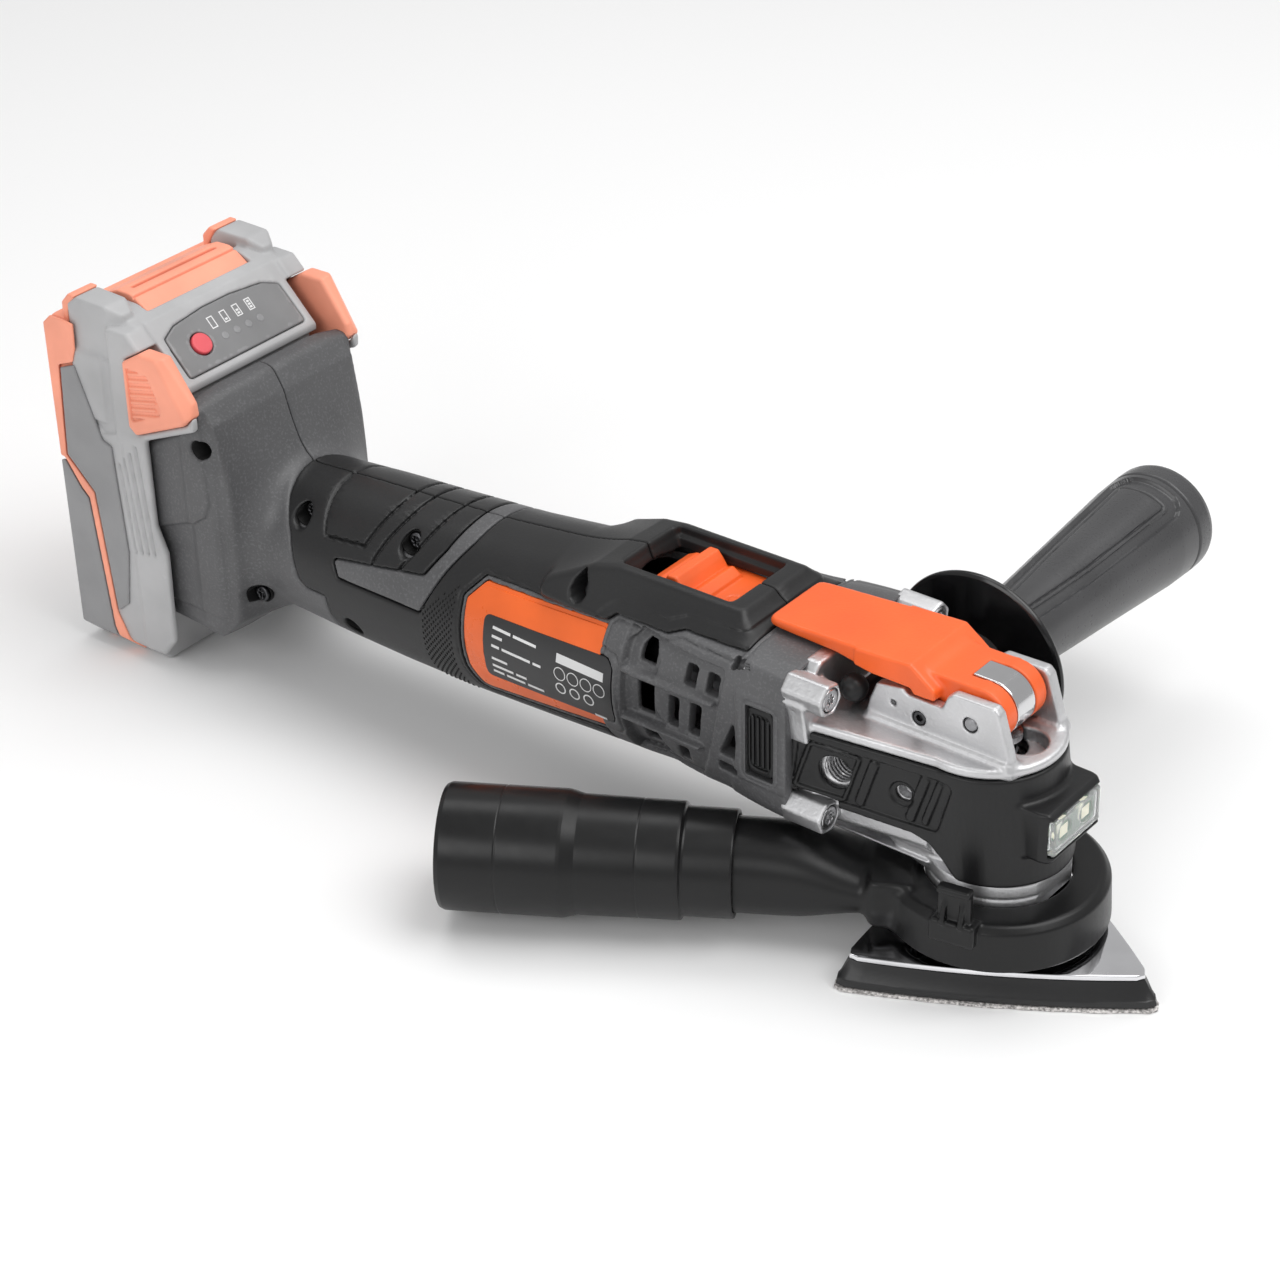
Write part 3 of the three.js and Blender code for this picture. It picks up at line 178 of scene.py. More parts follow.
def bounds_of(axis, low_uv, high_uv, span):
    """Box of something with two coordinates across an axis and a span along it."""
    low, high = np.zeros(3), np.zeros(3)
    iu, iv, iw = ORDER[axis]
    low[iu], low[iv], low[iw] = low_uv[0], low_uv[1], span[0]
    high[iu], high[iv], high[iw] = high_uv[0], high_uv[1], span[1]
    return low, high


def across(axis, x, y, z):
    coordinates = (x, y, z)
    return [coordinates[i] for i in ORDER[axis]]


def prism(axis, points, span, edge=0.0, corner=0.0):
    outline = soften(points, corner)
    field = polygon(outline)
    middle, half = (span[0] + span[1]) / 2, (span[1] - span[0]) / 2

    def distance(x, y, z):
        u, v, w = across(axis, x, y, z)
        return round_meet(field(u, v), np.abs(w - middle) - half, edge)
    flat = np.array(outline)
    return Shape(distance, *bounds_of(axis, flat.min(0), flat.max(0), span))


def rod(axis, radius, span, centre, edge=0.0):
    middle, half = (span[0] + span[1]) / 2, (span[1] - span[0]) / 2

    def distance(x, y, z):
        u, v, w = across(axis, x, y, z)
        across_distance = np.sqrt((u - centre[0]) ** 2 + (v - centre[1]) ** 2) - radius
        return round_meet(across_distance, np.abs(w - middle) - half, edge)
    reach = np.array([radius, radius])
    return Shape(distance, *bounds_of(axis, np.array(centre) - reach, np.array(centre) + reach, span))


def turned(axis, profile, centre=(0, 0), corner=0.0):
    """Solid of revolution. The profile holds [radius, place along the axis]."""
    outline = soften(profile, corner)
    field = polygon(outline)

    def distance(x, y, z):
        u, v, w = across(axis, x, y, z)
        return field(np.sqrt((u - centre[0]) ** 2 + (v - centre[1]) ** 2), w)
    flat = np.array(outline)
    reach = np.array([flat[:, 0].max()] * 2)
    span = (flat[:, 1].min(), flat[:, 1].max())
    return Shape(distance, *bounds_of(axis, np.array(centre) - reach, np.array(centre) + reach, span))


def block(low, high, edge=0.0):
    low, high = np.array(low, float), np.array(high, float)
    middle, half = (low + high) / 2, (high - low) / 2

    def distance(x, y, z):
        q = [np.abs(c - m) - h + edge for c, m, h in zip((x, y, z), middle, half)]
        outside = np.sqrt(sum(np.maximum(v, 0) ** 2 for v in q))
        return outside + np.minimum(np.maximum(np.maximum(q[0], q[1]), q[2]), 0) - edge
    return Shape(distance, low, high)


def ball(centre, radius):
    centre = np.array(centre, float)

    def distance(x, y, z):
        return np.sqrt((x - centre[0]) ** 2 + (y - centre[1]) ** 2 + (z - centre[2]) ** 2) - radius
    return Shape(distance, centre - radius, centre + radius)


def rotated(shape, axis, degrees, point=(0, 0, 0)):
    """The shape turned about an axis through a point."""
    turn = np.array(Matrix.Rotation(math.radians(degrees), 3, axis.upper()))
    point = np.array(point, float)

    def distance(x, y, z):
        p = [x - point[0], y - point[1], z - point[2]]
        back = [sum(turn[j][i] * p[j] for j in range(3)) + point[i] for i in range(3)]
        return shape(*back)
    corners = [(a, b, c) for a in (0, 1) for b in (0, 1) for c in (0, 1)]
    ends = [turn @ (np.where(c, shape.high, shape.low) - point) + point for c in corners]
    return Shape(distance, np.min(ends, 0), np.max(ends, 0))


def both_sides(shape):
    """A shape on the right side, and its mirror image on the left."""
    low, high = shape.low.copy(), shape.high.copy()
    high[1] = max(high[1], -low[1])
    return Shape(lambda x, y, z: shape(x, -np.abs(y), z), low, high)


def tube_of_stations(stations, squareness=2.2):
    """Tapering tube along X. A station is [x, centre z, half width, half height]."""
    table = np.array(stations, float)
    fine = np.arange(table[0, 0] - 1, table[-1, 0] + 1, 0.5)
    columns = []
    for i in (1, 2, 3):
        values = np.interp(fine, table[:, 0], table[:, i])
        for _ in range(2):
            values = np.convolve(np.pad(values, 8, "edge"), np.ones(17) / 17, "valid")
        columns.append(values)

    def distance(x, y, z):
        centre, wide, tall = [np.interp(x, fine, values).astype(np.float32) for values in columns]
        r = ((np.abs(y) / wide) ** squareness + (np.abs(z - centre) / tall) ** squareness) ** (1 / squareness)
        ends = np.maximum(table[0, 0] - x, x - table[-1, 0])
        return np.maximum((r - 1) * np.minimum(wide, tall), ends)
    reach, rise = table[:, 2].max(), table[:, 3].max()
    low = (table[0, 0], -reach, table[:, 1].min() - rise)
    high = (table[-1, 0], reach, table[:, 1].max() + rise)
    return Shape(distance, low, high)


# ------------------------------------------------------------------ from a field to a mesh


def surface_of(field, low, step):
    """Vertices and quads of the zero surface: one vertex in each cell that it crosses."""
    for axis in range(3):
        for end in (0, -1):
            face = [slice(None)] * 3
            face[axis] = end
            field[tuple(face)] = np.maximum(field[tuple(face)], step)
    inside = field < 0
    count = np.zeros([n - 1 for n in field.shape], np.uint8)
    corners = [(i, j, k) for i in (0, 1) for j in (0, 1) for k in (0, 1)]
    nx, ny, nz = count.shape
    for i, j, k in corners:
        count += inside[i:nx + i, j:ny + j, k:nz + k]
    active = (count > 0) & (count < 8)
    cells = np.argwhere(active)
    index = np.full(active.shape, -1, np.int32)
    index[active] = np.arange(len(cells), dtype=np.int32)
    total = np.zeros((len(cells), 3), np.float32)
    hits = np.zeros(len(cells), np.float32)
    for corner in corners:
        for axis in range(3):
            if corner[axis]:
                continue
            other = list(corner)
            other[axis] = 1
            a = field[tuple((cells + corner).T)]
            b = field[tuple((cells + other).T)]
            crossed = (a < 0) != (b < 0)
            t = np.where(crossed, a / np.where(crossed, a - b, 1), 0)
            for c in range(3):
                total[:, c] += np.where(crossed, corner[c] + (t if c == axis else 0), 0)
            hits += crossed
    vertices = low + step * (cells + total / hits[:, None])
    quads = []
    for axis in range(3):
        u, v = [c for c in range(3) if c != axis]
        first, second = [slice(1, -1)] * 3, [slice(1, -1)] * 3
        first[axis], second[axis] = slice(0, -1), slice(1, None)
        here, there = inside[tuple(first)], inside[tuple(second)]
        places = np.argwhere(here != there)
        outward = here[tuple(places.T)]
        offset = np.ones(3, int)
        offset[axis] = 0
        places = places + offset
        ring = []
        for du, dv in ((-1, -1), (0, -1), (0, 0), (-1, 0)):
            cell = places.copy()
            cell[:, u] += du
            cell[:, v] += dv
            ring.append(index[tuple(cell.T)])
        quad = np.stack(ring, 1)
        reverse = outward if axis == 1 else ~outward
        quad[reverse] = quad[reverse][:, ::-1]
        quads.append(quad)
    return vertices, np.concatenate(quads)


class Clay:
    """A solid in the making: a field on a grid over a box, in millimetres."""

    def __init__(self, low, high, step, first=None):
        self.low = np.array(low, np.float32)
        self.step = step
        counts = [int(math.ceil((b - a) / step)) + 1 for a, b in zip(low, high)]
        lines = [a + step * np.arange(n, dtype=np.float32) for a, n in zip(self.low, counts)]
        self.axes = (lines[0][:, None, None], lines[1][None, :, None], lines[2][None, None, :])
        self.field = np.full(counts, 100, np.float32)
        if first is not None:
            self.add(first)

    def change(self, operation, shape, k, everywhere=False):
        window = [slice(None)] * 3
        if isinstance(shape, Shape) and not everywhere:
            margin = k + 2.5 * self.step
            starts = np.floor((shape.low - margin - self.low) / self.step).astype(int)
            ends = np.ceil((shape.high + margin - self.low) / self.step).astype(int) + 1
            window = [slice(max(0, int(a)), max(0, int(b))) for a, b in zip(starts, ends)]
        x, y, z = self.axes
        values = shape(x[window[0]], y[:, window[1]], z[:, :, window[2]])
        window = tuple(window)
        self.field[window] = operation(self.field[window], values, k)
        return self

    def add(self, shape, k=0.0):
        return self.change(join, shape, k)

    def cut(self, shape, k=0.0):
        return self.change(cut, shape, k)

    def keep(self, shape, k=0.0):
        return self.change(meet, shape, k, everywhere=True)

    def copy(self):
        other = Clay.__new__(Clay)
        other.low, other.step, other.axes = self.low, self.step, self.axes
        other.field = self.field.copy()
        return other

    def mesh(self):
        return surface_of(self.field, self.low, self.step)


def make_piece(name, vertices, faces, material, smooth=True):
    """Mesh object from millimetres. Faces all have the same number of corners."""
    mesh = bpy.data.meshes.new(name)
    faces = np.asarray(faces, np.int32)
    mesh.vertices.add(len(vertices))
    mesh.vertices.foreach_set("co", (np.asarray(vertices, np.float32) * MM).ravel())
    mesh.loops.add(faces.size)
    mesh.loops.foreach_set("vertex_index", faces.ravel())
    mesh.polygons.add(len(faces))
    mesh.polygons.foreach_set("loop_start", np.arange(len(faces), dtype=np.int32) * faces.shape[1])
    mesh.polygons.foreach_set("use_smooth", np.full(len(faces), smooth))
    mesh.update(calc_edges=True)
    mesh.validate()
    piece = bpy.data.objects.new(name, mesh)
    bpy.context.scene.collection.objects.link(piece)
    mesh.materials.append(material)
    return piece


def bake_modifiers(piece):
    """Replaces the mesh by what its modifiers make of it."""
    bpy.context.view_layer.update()
    graph = bpy.context.evaluated_depsgraph_get()
    mesh = bpy.data.meshes.new_from_object(piece.evaluated_get(graph))
    piece.modifiers.clear()
    piece.data = mesh
    mesh.name = piece.name


def mirrored(vertices, faces):
    """The same mesh on the other side of the tool."""
    return vertices * (1, -1, 1), faces[:, ::-1]


def thin_out(piece, ratio):
    """Fewer faces where the surface is flat."""
    if ratio < 1:
        modifier = piece.modifiers.new("thin", "DECIMATE")
        modifier.ratio = ratio
        bake_modifiers(piece)


def sculpt(name, clay, material, body, slot, nodes=(), ratio=1.0):
    """Piece from a field, riding on a body and standing for CAD nodes."""
    piece = make_piece(name, *clay.mesh(), material)
    thin_out(piece, ratio)
    return finish_piece(piece, body, slot, nodes)


def finish_piece(piece, body, slot, nodes=()):
    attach(piece, body)
    for node in nodes:
        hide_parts(node)
    return piece


def sculpt_pair(name, clay, material, bodies, slot, ratio=1.0, right_only=None):
    """Right and left piece from the right half's field; right_only changes the right one's field."""
    right_body, left_body = bodies
    left = clay.copy()
    if right_only:
        right_only(clay)
    sculpt(name + "_right_piece", clay, material, right_body, slot, [name + "_right"], ratio)
    piece = make_piece(name + "_left_piece", *mirrored(*left.mesh()), material)
    thin_out(piece, ratio)
    finish_piece(piece, left_body, slot, [name + "_left"])


def turned_piece(name, profile, material, axis="z", centre=(0, 0), corner=0.6, sides=96, turn=None):
    """Closed profile of [radius, place along the axis] revolved about the axis, as a mesh."""
    outline = np.array(soften(profile, corner, 3))
    outline[:, 0] = np.maximum(outline[:, 0], 0.001)
    count = len(outline)
    angles = np.linspace(0, 2 * math.pi, sides, endpoint=False)
    iu, iv, iw = ORDER[axis]
    vertices = np.zeros((sides, count, 3))
    vertices[:, :, iu] = centre[0] + outline[None, :, 0] * np.cos(angles)[:, None]
    vertices[:, :, iv] = centre[1] + outline[None, :, 0] * np.sin(angles)[:, None]
    vertices[:, :, iw] = outline[None, :, 1]
    i, j = np.meshgrid(np.arange(sides), np.arange(count), indexing="ij")
    ring = [(i, j), ((i + 1) % sides, j), ((i + 1) % sides, (j + 1) % count), (i, (j + 1) % count)]
    quads = np.stack([a * count + b for a, b in ring], -1).reshape(-1, 4)
    vertices = vertices.reshape(-1, 3)
    area = np.sum(outline[:, 0] * np.roll(outline[:, 1], -1) - np.roll(outline[:, 0], -1) * outline[:, 1])
    if (area > 0) == (axis == "y"):
        quads = quads[:, ::-1]
    if turn is not None:
        vertices = vertices @ np.array(turn).T
    piece = make_piece(name, vertices, quads, material)
    piece.data.set_sharp_from_angle(angle=math.radians(35))
    return piece


# ------------------------------------------------------------------ materials


class Nodes:
    """A node material around one Principled shader. Lengths are in metres."""

    def __init__(self, name):
        self.material = bpy.data.materials.new(name)
        self.material.use_nodes = True
        self.tree = self.material.node_tree
        self.shader = self.tree.nodes["Principled BSDF"]
        self.place = self.add("ShaderNodeTexCoord").outputs["Object"]

    def add(self, kind, **settings):
        node = self.tree.nodes.new(kind)
        for key, value in settings.items():
            setattr(node, key, value)
        return node

    def link(self, source, target):
        self.tree.links.new(source, target)

    def noise(self, size, detail=2.0, stretch=(1, 1, 1), seed=0.0):
        """Soft random pattern with features of about that size."""
        mapping = self.add("ShaderNodeMapping")
        mapping.inputs["Scale"].default_value = stretch
        mapping.inputs["Location"].default_value = (seed, seed * 0.7, seed * 1.3)
        self.link(self.place, mapping.inputs["Vector"])
        node = self.add("ShaderNodeTexNoise")
        node.inputs["Scale"].default_value = 0.5 / size
        node.inputs["Detail"].default_value = detail
        self.link(mapping.outputs[0], node.inputs["Vector"])
        return node.outputs["Fac"]

    def rescale(self, value, low_in, high_in, low_out, high_out):
        node = self.add("ShaderNodeMapRange", clamp=True)
        for i, number in enumerate((low_in, high_in, low_out, high_out)):
            node.inputs[i + 1].default_value = number
        self.link(value, node.inputs[0])
        return node.outputs[0]

    def maths(self, operation, a, b):
        node = self.add("ShaderNodeMath", operation=operation)
        for socket, value in zip(node.inputs, (a, b)):
            if isinstance(value, (int, float)):
                socket.default_value = value
            else:
                self.link(value, socket)
        return node.outputs[0]

    def mix(self, factor, a, b):
        node = self.add("ShaderNodeMix", data_type="RGBA")
        self.link(factor, node.inputs["Factor"])
        for socket, value in ((node.inputs[6], a), (node.inputs[7], b)):
            if isinstance(value, tuple):
                socket.default_value = (*value, 1)
            else:
                self.link(value, socket)
        return node.outputs[2]

    def bump(self, height, distance):
        node = self.add("ShaderNodeBump")
        node.inputs["Strength"].default_value = 1.0
        node.inputs["Distance"].default_value = distance
        self.link(height, node.inputs["Height"])
        return node.outputs[0]

    def set(self, **values):
        for key, value in values.items():
            self.shader.inputs[key.replace("_", " ")].default_value = value
        return self


def shade(colour, factor):
    return tuple(min(1.0, c * factor) for c in colour)


def finish(name, colour, roughness, grain=0.0004, depth=0.00002, spread=0.06, metal=0.0,
           worn=0.25, speckle=0.0, brushed=None, crevice_shade=0.45, **extra):
    """A moulded, cast or machined finish.

    grain and depth size the fine texture, spread is how much the gloss varies, worn is how much
    lighter the edges are rubbed, the crevice setting is how much painted shade darkens the hollows,
    speckle is fine colour variation and brushed stretches the grain.
    """
    n = Nodes(name)
    fine = n.noise(grain, 3, brushed or (1, 1, 1))
    broad = n.noise(0.012, 3, seed=3.1)
    cloudy = n.noise(0.045, 2, seed=7.7)
    base = n.mix(n.rescale(broad, 0.3, 0.7, 0, 1), shade(colour, 0.88), shade(colour, 1.1))
    if speckle:
        spots = n.rescale(fine, 0.52, 0.66, 0, speckle)
        base = n.mix(spots, base, shade(colour, 2.2))
    edge = n.add("ShaderNodeNewGeometry").outputs["Pointiness"]
    if worn:
        rubbed = n.maths("MULTIPLY", n.rescale(edge, 0.54, 0.62, 0, worn), broad)
        base = n.mix(rubbed, base, shade(colour, 2.6))
    # Painted shade: hollows, where pointiness is low, are darkened towards a fifth of the colour.
    if crevice_shade:
        base = n.mix(n.rescale(edge, 0.41, 0.475, crevice_shade, 0), base, shade(colour, 0.2))
    n.link(base, n.shader.inputs["Base Color"])
    gloss = n.maths("ADD", n.rescale(cloudy, 0.3, 0.7, -spread, spread),
                    n.rescale(fine, 0.3, 0.7, -0.03, 0.03))
    n.link(n.maths("ADD", gloss, roughness), n.shader.inputs["Roughness"])
    n.link(n.bump(fine, depth), n.shader.inputs["Normal"])
    n.set(Metallic=metal, **extra)
    return n.material


def clear_lens(name):
    n = Nodes(name)
    ripple = n.noise(0.0022, 1)
    n.link(n.rescale(ripple, 0.3, 0.7, 0.02, 0.1), n.shader.inputs["Roughness"])
    n.link(n.bump(ripple, 0.0001), n.shader.inputs["Normal"])
    n.set(Base_Color=(0.93, 0.95, 0.95, 1), Transmission_Weight=0.85, IOR=1.49)
    return n.material


def abrasive(name):
    n = Nodes(name)
    grit = n.noise(0.0005, 2)
    colour = n.mix(n.rescale(grit, 0.35, 0.65, 0, 1), (0.2, 0.19, 0.185), (0.85, 0.82, 0.8))
    n.link(colour, n.shader.inputs["Base Color"])
    n.link(n.rescale(grit, 0.3, 0.7, 0.6, 0.95), n.shader.inputs["Roughness"])
    n.link(n.bump(grit, 0.0003), n.shader.inputs["Normal"])
    return n.material


def windings(name):
    """Copper wire wound along the rotor, between dark slots."""
    n = Nodes(name)
    wave = n.add("ShaderNodeTexWave", bands_direction="DIAGONAL")
    wave.inputs["Scale"].default_value = 500
    wave.inputs["Distortion"].default_value = 1.5
    n.link(n.place, wave.inputs["Vector"])
    colour = n.mix(wave.outputs["Fac"], (0.25, 0.07, 0.02), (0.8, 0.33, 0.12))
    n.link(colour, n.shader.inputs["Base Color"])
    n.link(n.rescale(n.noise(0.004), 0.3, 0.7, 0.25, 0.5), n.shader.inputs["Roughness"])
    n.link(n.bump(wave.outputs["Fac"], 0.0002), n.shader.inputs["Normal"])
    n.set(Metallic=0.9)
    return n.material


LOOK = {
    "shell": finish("textured_dark_grey", (0.084, 0.084, 0.087), 0.46, 0.0004, 0.00006, speckle=0.3,
                    crevice_shade=0.9),
    "overmould": finish("soft_black", (0.016, 0.016, 0.0165), 0.4, 0.00035, 0.00003, speckle=0.1,
                        crevice_shade=0.9,
                        Specular_IOR_Level=0.34),
    "orange": finish("satin_orange", (0.9, 0.13, 0.022), 0.4, 0.0005, 0.00004, worn=0.3),
    "orange_label": finish("orange_foil", (0.86, 0.14, 0.02), 0.3, 0.002, 0.00001, worn=0.0),
    "casting": finish("bright_casting", (0.64, 0.64, 0.65), 0.46, 0.0005, 0.0001, 0.05, 1.0, worn=0.1,
                      speckle=0.08, crevice_shade=0.8),
    "cover": finish("satin_black", (0.009, 0.009, 0.0095), 0.34, 0.0004, 0.00002, crevice_shade=0.8,
                    Specular_IOR_Level=0.36),
    "black_plastic": finish("moulded_black", (0.006, 0.006, 0.0063), 0.34, 0.0006, 0.000005, 0.03, worn=0.0,
                            crevice_shade=0.0, Specular_IOR_Level=0.34),
    "hose_rubber": finish("scuffed_black", (0.007, 0.007, 0.0073), 0.34, 0.0018, 0.00002, 0.1, worn=0.4,
                          crevice_shade=0.0,
                          Specular_IOR_Level=0.34),
    "handle": finish("handle_black", (0.052, 0.052, 0.054), 0.3, 0.0005, 0.00003, 0.05, worn=0.0,
                     crevice_shade=0.0),
    "guard": finish("gloss_black", (0.005, 0.005, 0.0055), 0.16, 0.002, 0.00001, worn=0.2),
    # Screw recess sleeves: the cover's own lining, made near-black and dull as painted shade in the hole.
    "well": finish("recess_shade_black", (0.004, 0.004, 0.004), 0.6, 0.0005, 0.00001, worn=0.0,
                   Specular_IOR_Level=0.2),
    "steel": finish("machined_steel", (0.56, 0.56, 0.57), 0.24, 0.0006, 0.00001, 0.08, 1.0,
                    brushed=(1, 14, 14)),
    "strap_steel": finish("polished_steel", (0.66, 0.66, 0.67), 0.12, 0.0007, 0.000006, 0.04, 1.0,
                          brushed=(10, 1, 10)),
    "dark_steel": finish("blackened_steel", (0.09, 0.09, 0.095), 0.38, 0.0005, 0.00001, 0.06, 1.0),
    "pin_steel": finish("grey_pin", (0.3, 0.3, 0.31), 0.35, 0.0003, 0.00001, 0.06, 1.0),
    "chrome": finish("bright_chrome", (0.78, 0.78, 0.8), 0.045, 0.006, 0.000004, 0.02, 1.0, worn=0.0,
                     crevice_shade=0.0),
    "brass": finish("stamped_brass", (0.7, 0.48, 0.2), 0.3, 0.0006, 0.00001, 0.06, 1.0),
    "foam": finish("pad_backing", (0.01, 0.01, 0.0105), 0.36, 0.0006, 0.00003),
    "board": finish("green_laminate", (0.02, 0.15, 0.05), 0.35, 0.001, 0.00001),
    "pack_grey": finish("pale_grey", (0.42, 0.42, 0.425), 0.42, 0.0005, 0.00001, worn=0.08, crevice_shade=0.6),
    "pack_orange": finish("pale_orange", (0.92, 0.34, 0.22), 0.42, 0.0005, 0.00001, worn=0.05, crevice_shade=0.6),
    "pack_dark": finish("mid_grey", (0.25, 0.25, 0.255), 0.42, 0.0005, 0.00001, worn=0.08),
    "gauge": finish("gauge_grey", (0.2, 0.2, 0.203), 0.3, 0.0006, 0.000008),
    "gauge_red": finish("soft_red", (0.72, 0.09, 0.11), 0.4, 0.0004, 0.00001),
    "gauge_print": finish("pale_print", (0.75, 0.75, 0.75), 0.5, 0.0006, 0.00001, worn=0.0, crevice_shade=0.0),
    "label": finish("dark_foil", (0.02, 0.02, 0.021), 0.34, 0.003, 0.000004, worn=0.0, crevice_shade=0.0),
    "cell": finish("cell_sleeve", (0.03, 0.12, 0.4), 0.3, 0.001, 0.00001),
    "lens": clear_lens("clear_lens"),
    "led": finish("led_phosphor", (0.9, 0.85, 0.55), 0.3, 0.0004, 0.00002, Emission_Strength=0.4,
                  Emission_Color=(1, 0.97, 0.85, 1)),
    "abrasive": abrasive("grit"),
    "copper": windings("windings"),
}


# ------------------------------------------------------------------ housing shells and grip cover

WALL = 2.4
PLAY = 0.3
SEAM = 0.12
FINE = 0.48
BOTH_HALVES = ("housing", "housing")

# Stations along the body: [x, centre z, half width, half height, squareness].
BODY_STATIONS = np.array([
    [-271, 59, 31, 39.7, 7],
    [-266, 58.5, 30.4, 38.4, 6],
    [-263, 56.5, 29.6, 33, 4.5],
    [-260, 52.5, 28.2, 28.6, 3.2],
    [-256, 48.6, 25.8, 25.8, 2.3],
    [-251, 47.2, 24.6, 24.6, 2],
    [-225, 47.9, 26.2, 26.2, 2],
    [-200, 48.6, 27.2, 27.2, 2],
    [-170, 50, 28.2, 28.2, 2],
    [-140, 52.8, 29.3, 29.3, 2],
    [-112, 55.2, 30, 30, 2],
    [-95, 57.2, 29.8, 27.5, 2.6],
    [-72, 58.6, 29.8, 25.4, 4.5],
    [-52, 59.2, 30.4, 24.8, 8],
])

COVER_SIDE = [(-253, 84), (-252.4, 72.5), (-249.1, 66.9), (-246.8, 64.3), (-242.2, 58.5), (-237, 46),
              (-234.5, 44.6), (-226, 44.6), (-226.4, 31.6), (-229, 10), (-116.8, 10), (-116.8, 74.4),
              (-114.2, 76.6), (-95.4, 77.4), (-90, 79.8), (-68, 81), (-68, 100), (-253, 100)]
GRIP_INSERT = [(-223.2, 58), (-220, 52.8), (-185.8, 53.6), (-179, 67.5), (-175, 74.1), (-172, 84),
               (-172, 99), (-180.2, 99), (-180.2, 84), (-181.2, 76.3), (-182.8, 71), (-187, 64)]
LABEL_WINDOW = [(-168.6, 42), (-166, 34.6), (-163, 33.2), (-112, 38.8), (-112, 74.4), (-164.6, 70.6),
                (-170.4, 64)]
RATING_PLATE = [(-159.6, 42.2), (-112, 44), (-111.2, 46), (-111.2, 62.6), (-113.2, 65.2), (-160.4, 62.2)]
GRIP_GROOVES = [
    [(-237, 99), (-236.6, 78), (-234.7, 72.2), (-232, 67.6), (-228.7, 62.7), (-212.3, 64.5), (-210.6, 69.4),
     (-208.8, 73.6), (-208.4, 99)],
    [(-200.2, 99), (-200.8, 78), (-202, 73.9), (-204.9, 68.1), (-207.4, 61.6)],
    [(-189.2, 99), (-189.6, 76), (-192.4, 69.5), (-196.6, 62.9)],
]
SHOE_SIDE = [(-292, 19), (-268, 17.5), (-259.4, 25), (-259, 74), (-262.6, 93), (-267, 98.7), (-271.5, 98.7),
             (-271.5, 91.4), (-292, 79.6)]
SHOE_PLAN = [(-293, -34), (-264.6, -34), (-258.4, -29.6), (-258.4, 29.6), (-264.6, 34), (-293, 34)]
SHOE_PANEL = [(-300, 49), (-290, 51), (-272, 58.4), (-267.4, 61.6), (-265.4, 66.4), (-265.8, 104),
              (-300, 104)]
DOME_SIDE = [(-142, 74), (-69.4, 74), (-70, 79.6), (-75.6, 88.3), (-118, 87.6), (-127, 85.6), (-142, 78.4)]
DOME_FRONT = [(-26, 70), (-22, 77.5), (-15, 88.6), (15, 88.6), (22, 77.5), (26, 70)]
DOME_PLAN = [(-146, -25), (-69.5, -25), (-69.5, 25), (-146, 25)]
FUNNEL = [(-116, 77), (-82.4, 77), (-80.4, 90.5), (-121.5, 90.5)]
TEARDROP = [(-128.8, 84.6), (-126.4, 80.4), (-125.9, 78), (-127, 75.8), (-128.8, 75), (-130.6, 75.8),
            (-131.7, 78), (-131.2, 80.4)]
SCREW_R = 3.3
RIM_DEPTH = 0.9
SHOE_SCREWS = [(-267, 25, 85), (-256, 22, 34)]
GRIP_SCREWS = [(-240.3, 12, 64.3), (-196.7, 13, 68.6), (-217.6, 14, 35.5)]
SKIN_NAMES = ["housing_shell_right_piece", "grip_cover_right_piece"]


def station_values(x, column):
    """A station value along X, with the corners between stations smoothed."""
    fine = np.arange(-300, -40, 0.5)
    values = np.interp(fine, BODY_STATIONS[:, 0], BODY_STATIONS[:, column])
    window = np.ones(9) / 9
    for _ in range(2):
        values = np.convolve(np.pad(values, 4, "edge"), window, "valid")
    return np.interp(x, fine, values).astype(np.float32)


def body_wrap(x, y, z):
    """The body's rounded tube, without the shoe or the switch dome."""
    centre, wide, tall, square = [station_values(x, column) for column in (1, 2, 3, 4)]
    r = ((np.abs(y) / wide) ** square + (np.abs(z - centre) / tall) ** square) ** (1 / square)
    return (r - 1) * np.minimum(wide, tall)


def body_side(x, z, inset=0.0):
    """Half width of the body at a place on its side, in millimetres."""
    centre, wide, tall, square = [station_values(x, column) for column in (1, 2, 3, 4)]
    level = 1 - inset / np.minimum(wide, tall)
    return wide * np.maximum(level ** square - np.abs((z - centre) / tall) ** square, 0) ** (1 / square)


def vent_slots():
    """Openings over the motor: three rows, a triangle and a low slot."""
    slots = [[(-103.6, 66.8), (-98, 66.8), (-98, 71), (-99.4, 73.4), (-102, 73.4), (-103.6, 71)]]
    for x0, x1, z0, z1, lean in (
        (-86.4, -82.4, 66.4, 73.2, 0.8), (-78.8, -74.6, 66.4, 73.2, 0.8),
        (-103.4, -97.8, 51.2, 61.8, 0), (-92, -88.4, 51.4, 61.4, 0.6), (-84.8, -81, 51.2, 61.6, 0.9),
        (-103, -97.4, 39.6, 45.4, 0), (-89.4, -85.8, 39.6, 45.2, 0.3),
    ):
        slots.append([(x0, z0), (x1, z0), (x1 + lean, z1), (x0 + lean, z1)])
    slots.append([(-73, 50), (-66.9, 50), (-67.8, 62.6)])
    slots.append([(-73.4, 44.8), (-66.4, 44.8), (-66.2, 47.6), (-73.2, 47.6)])
    return slots


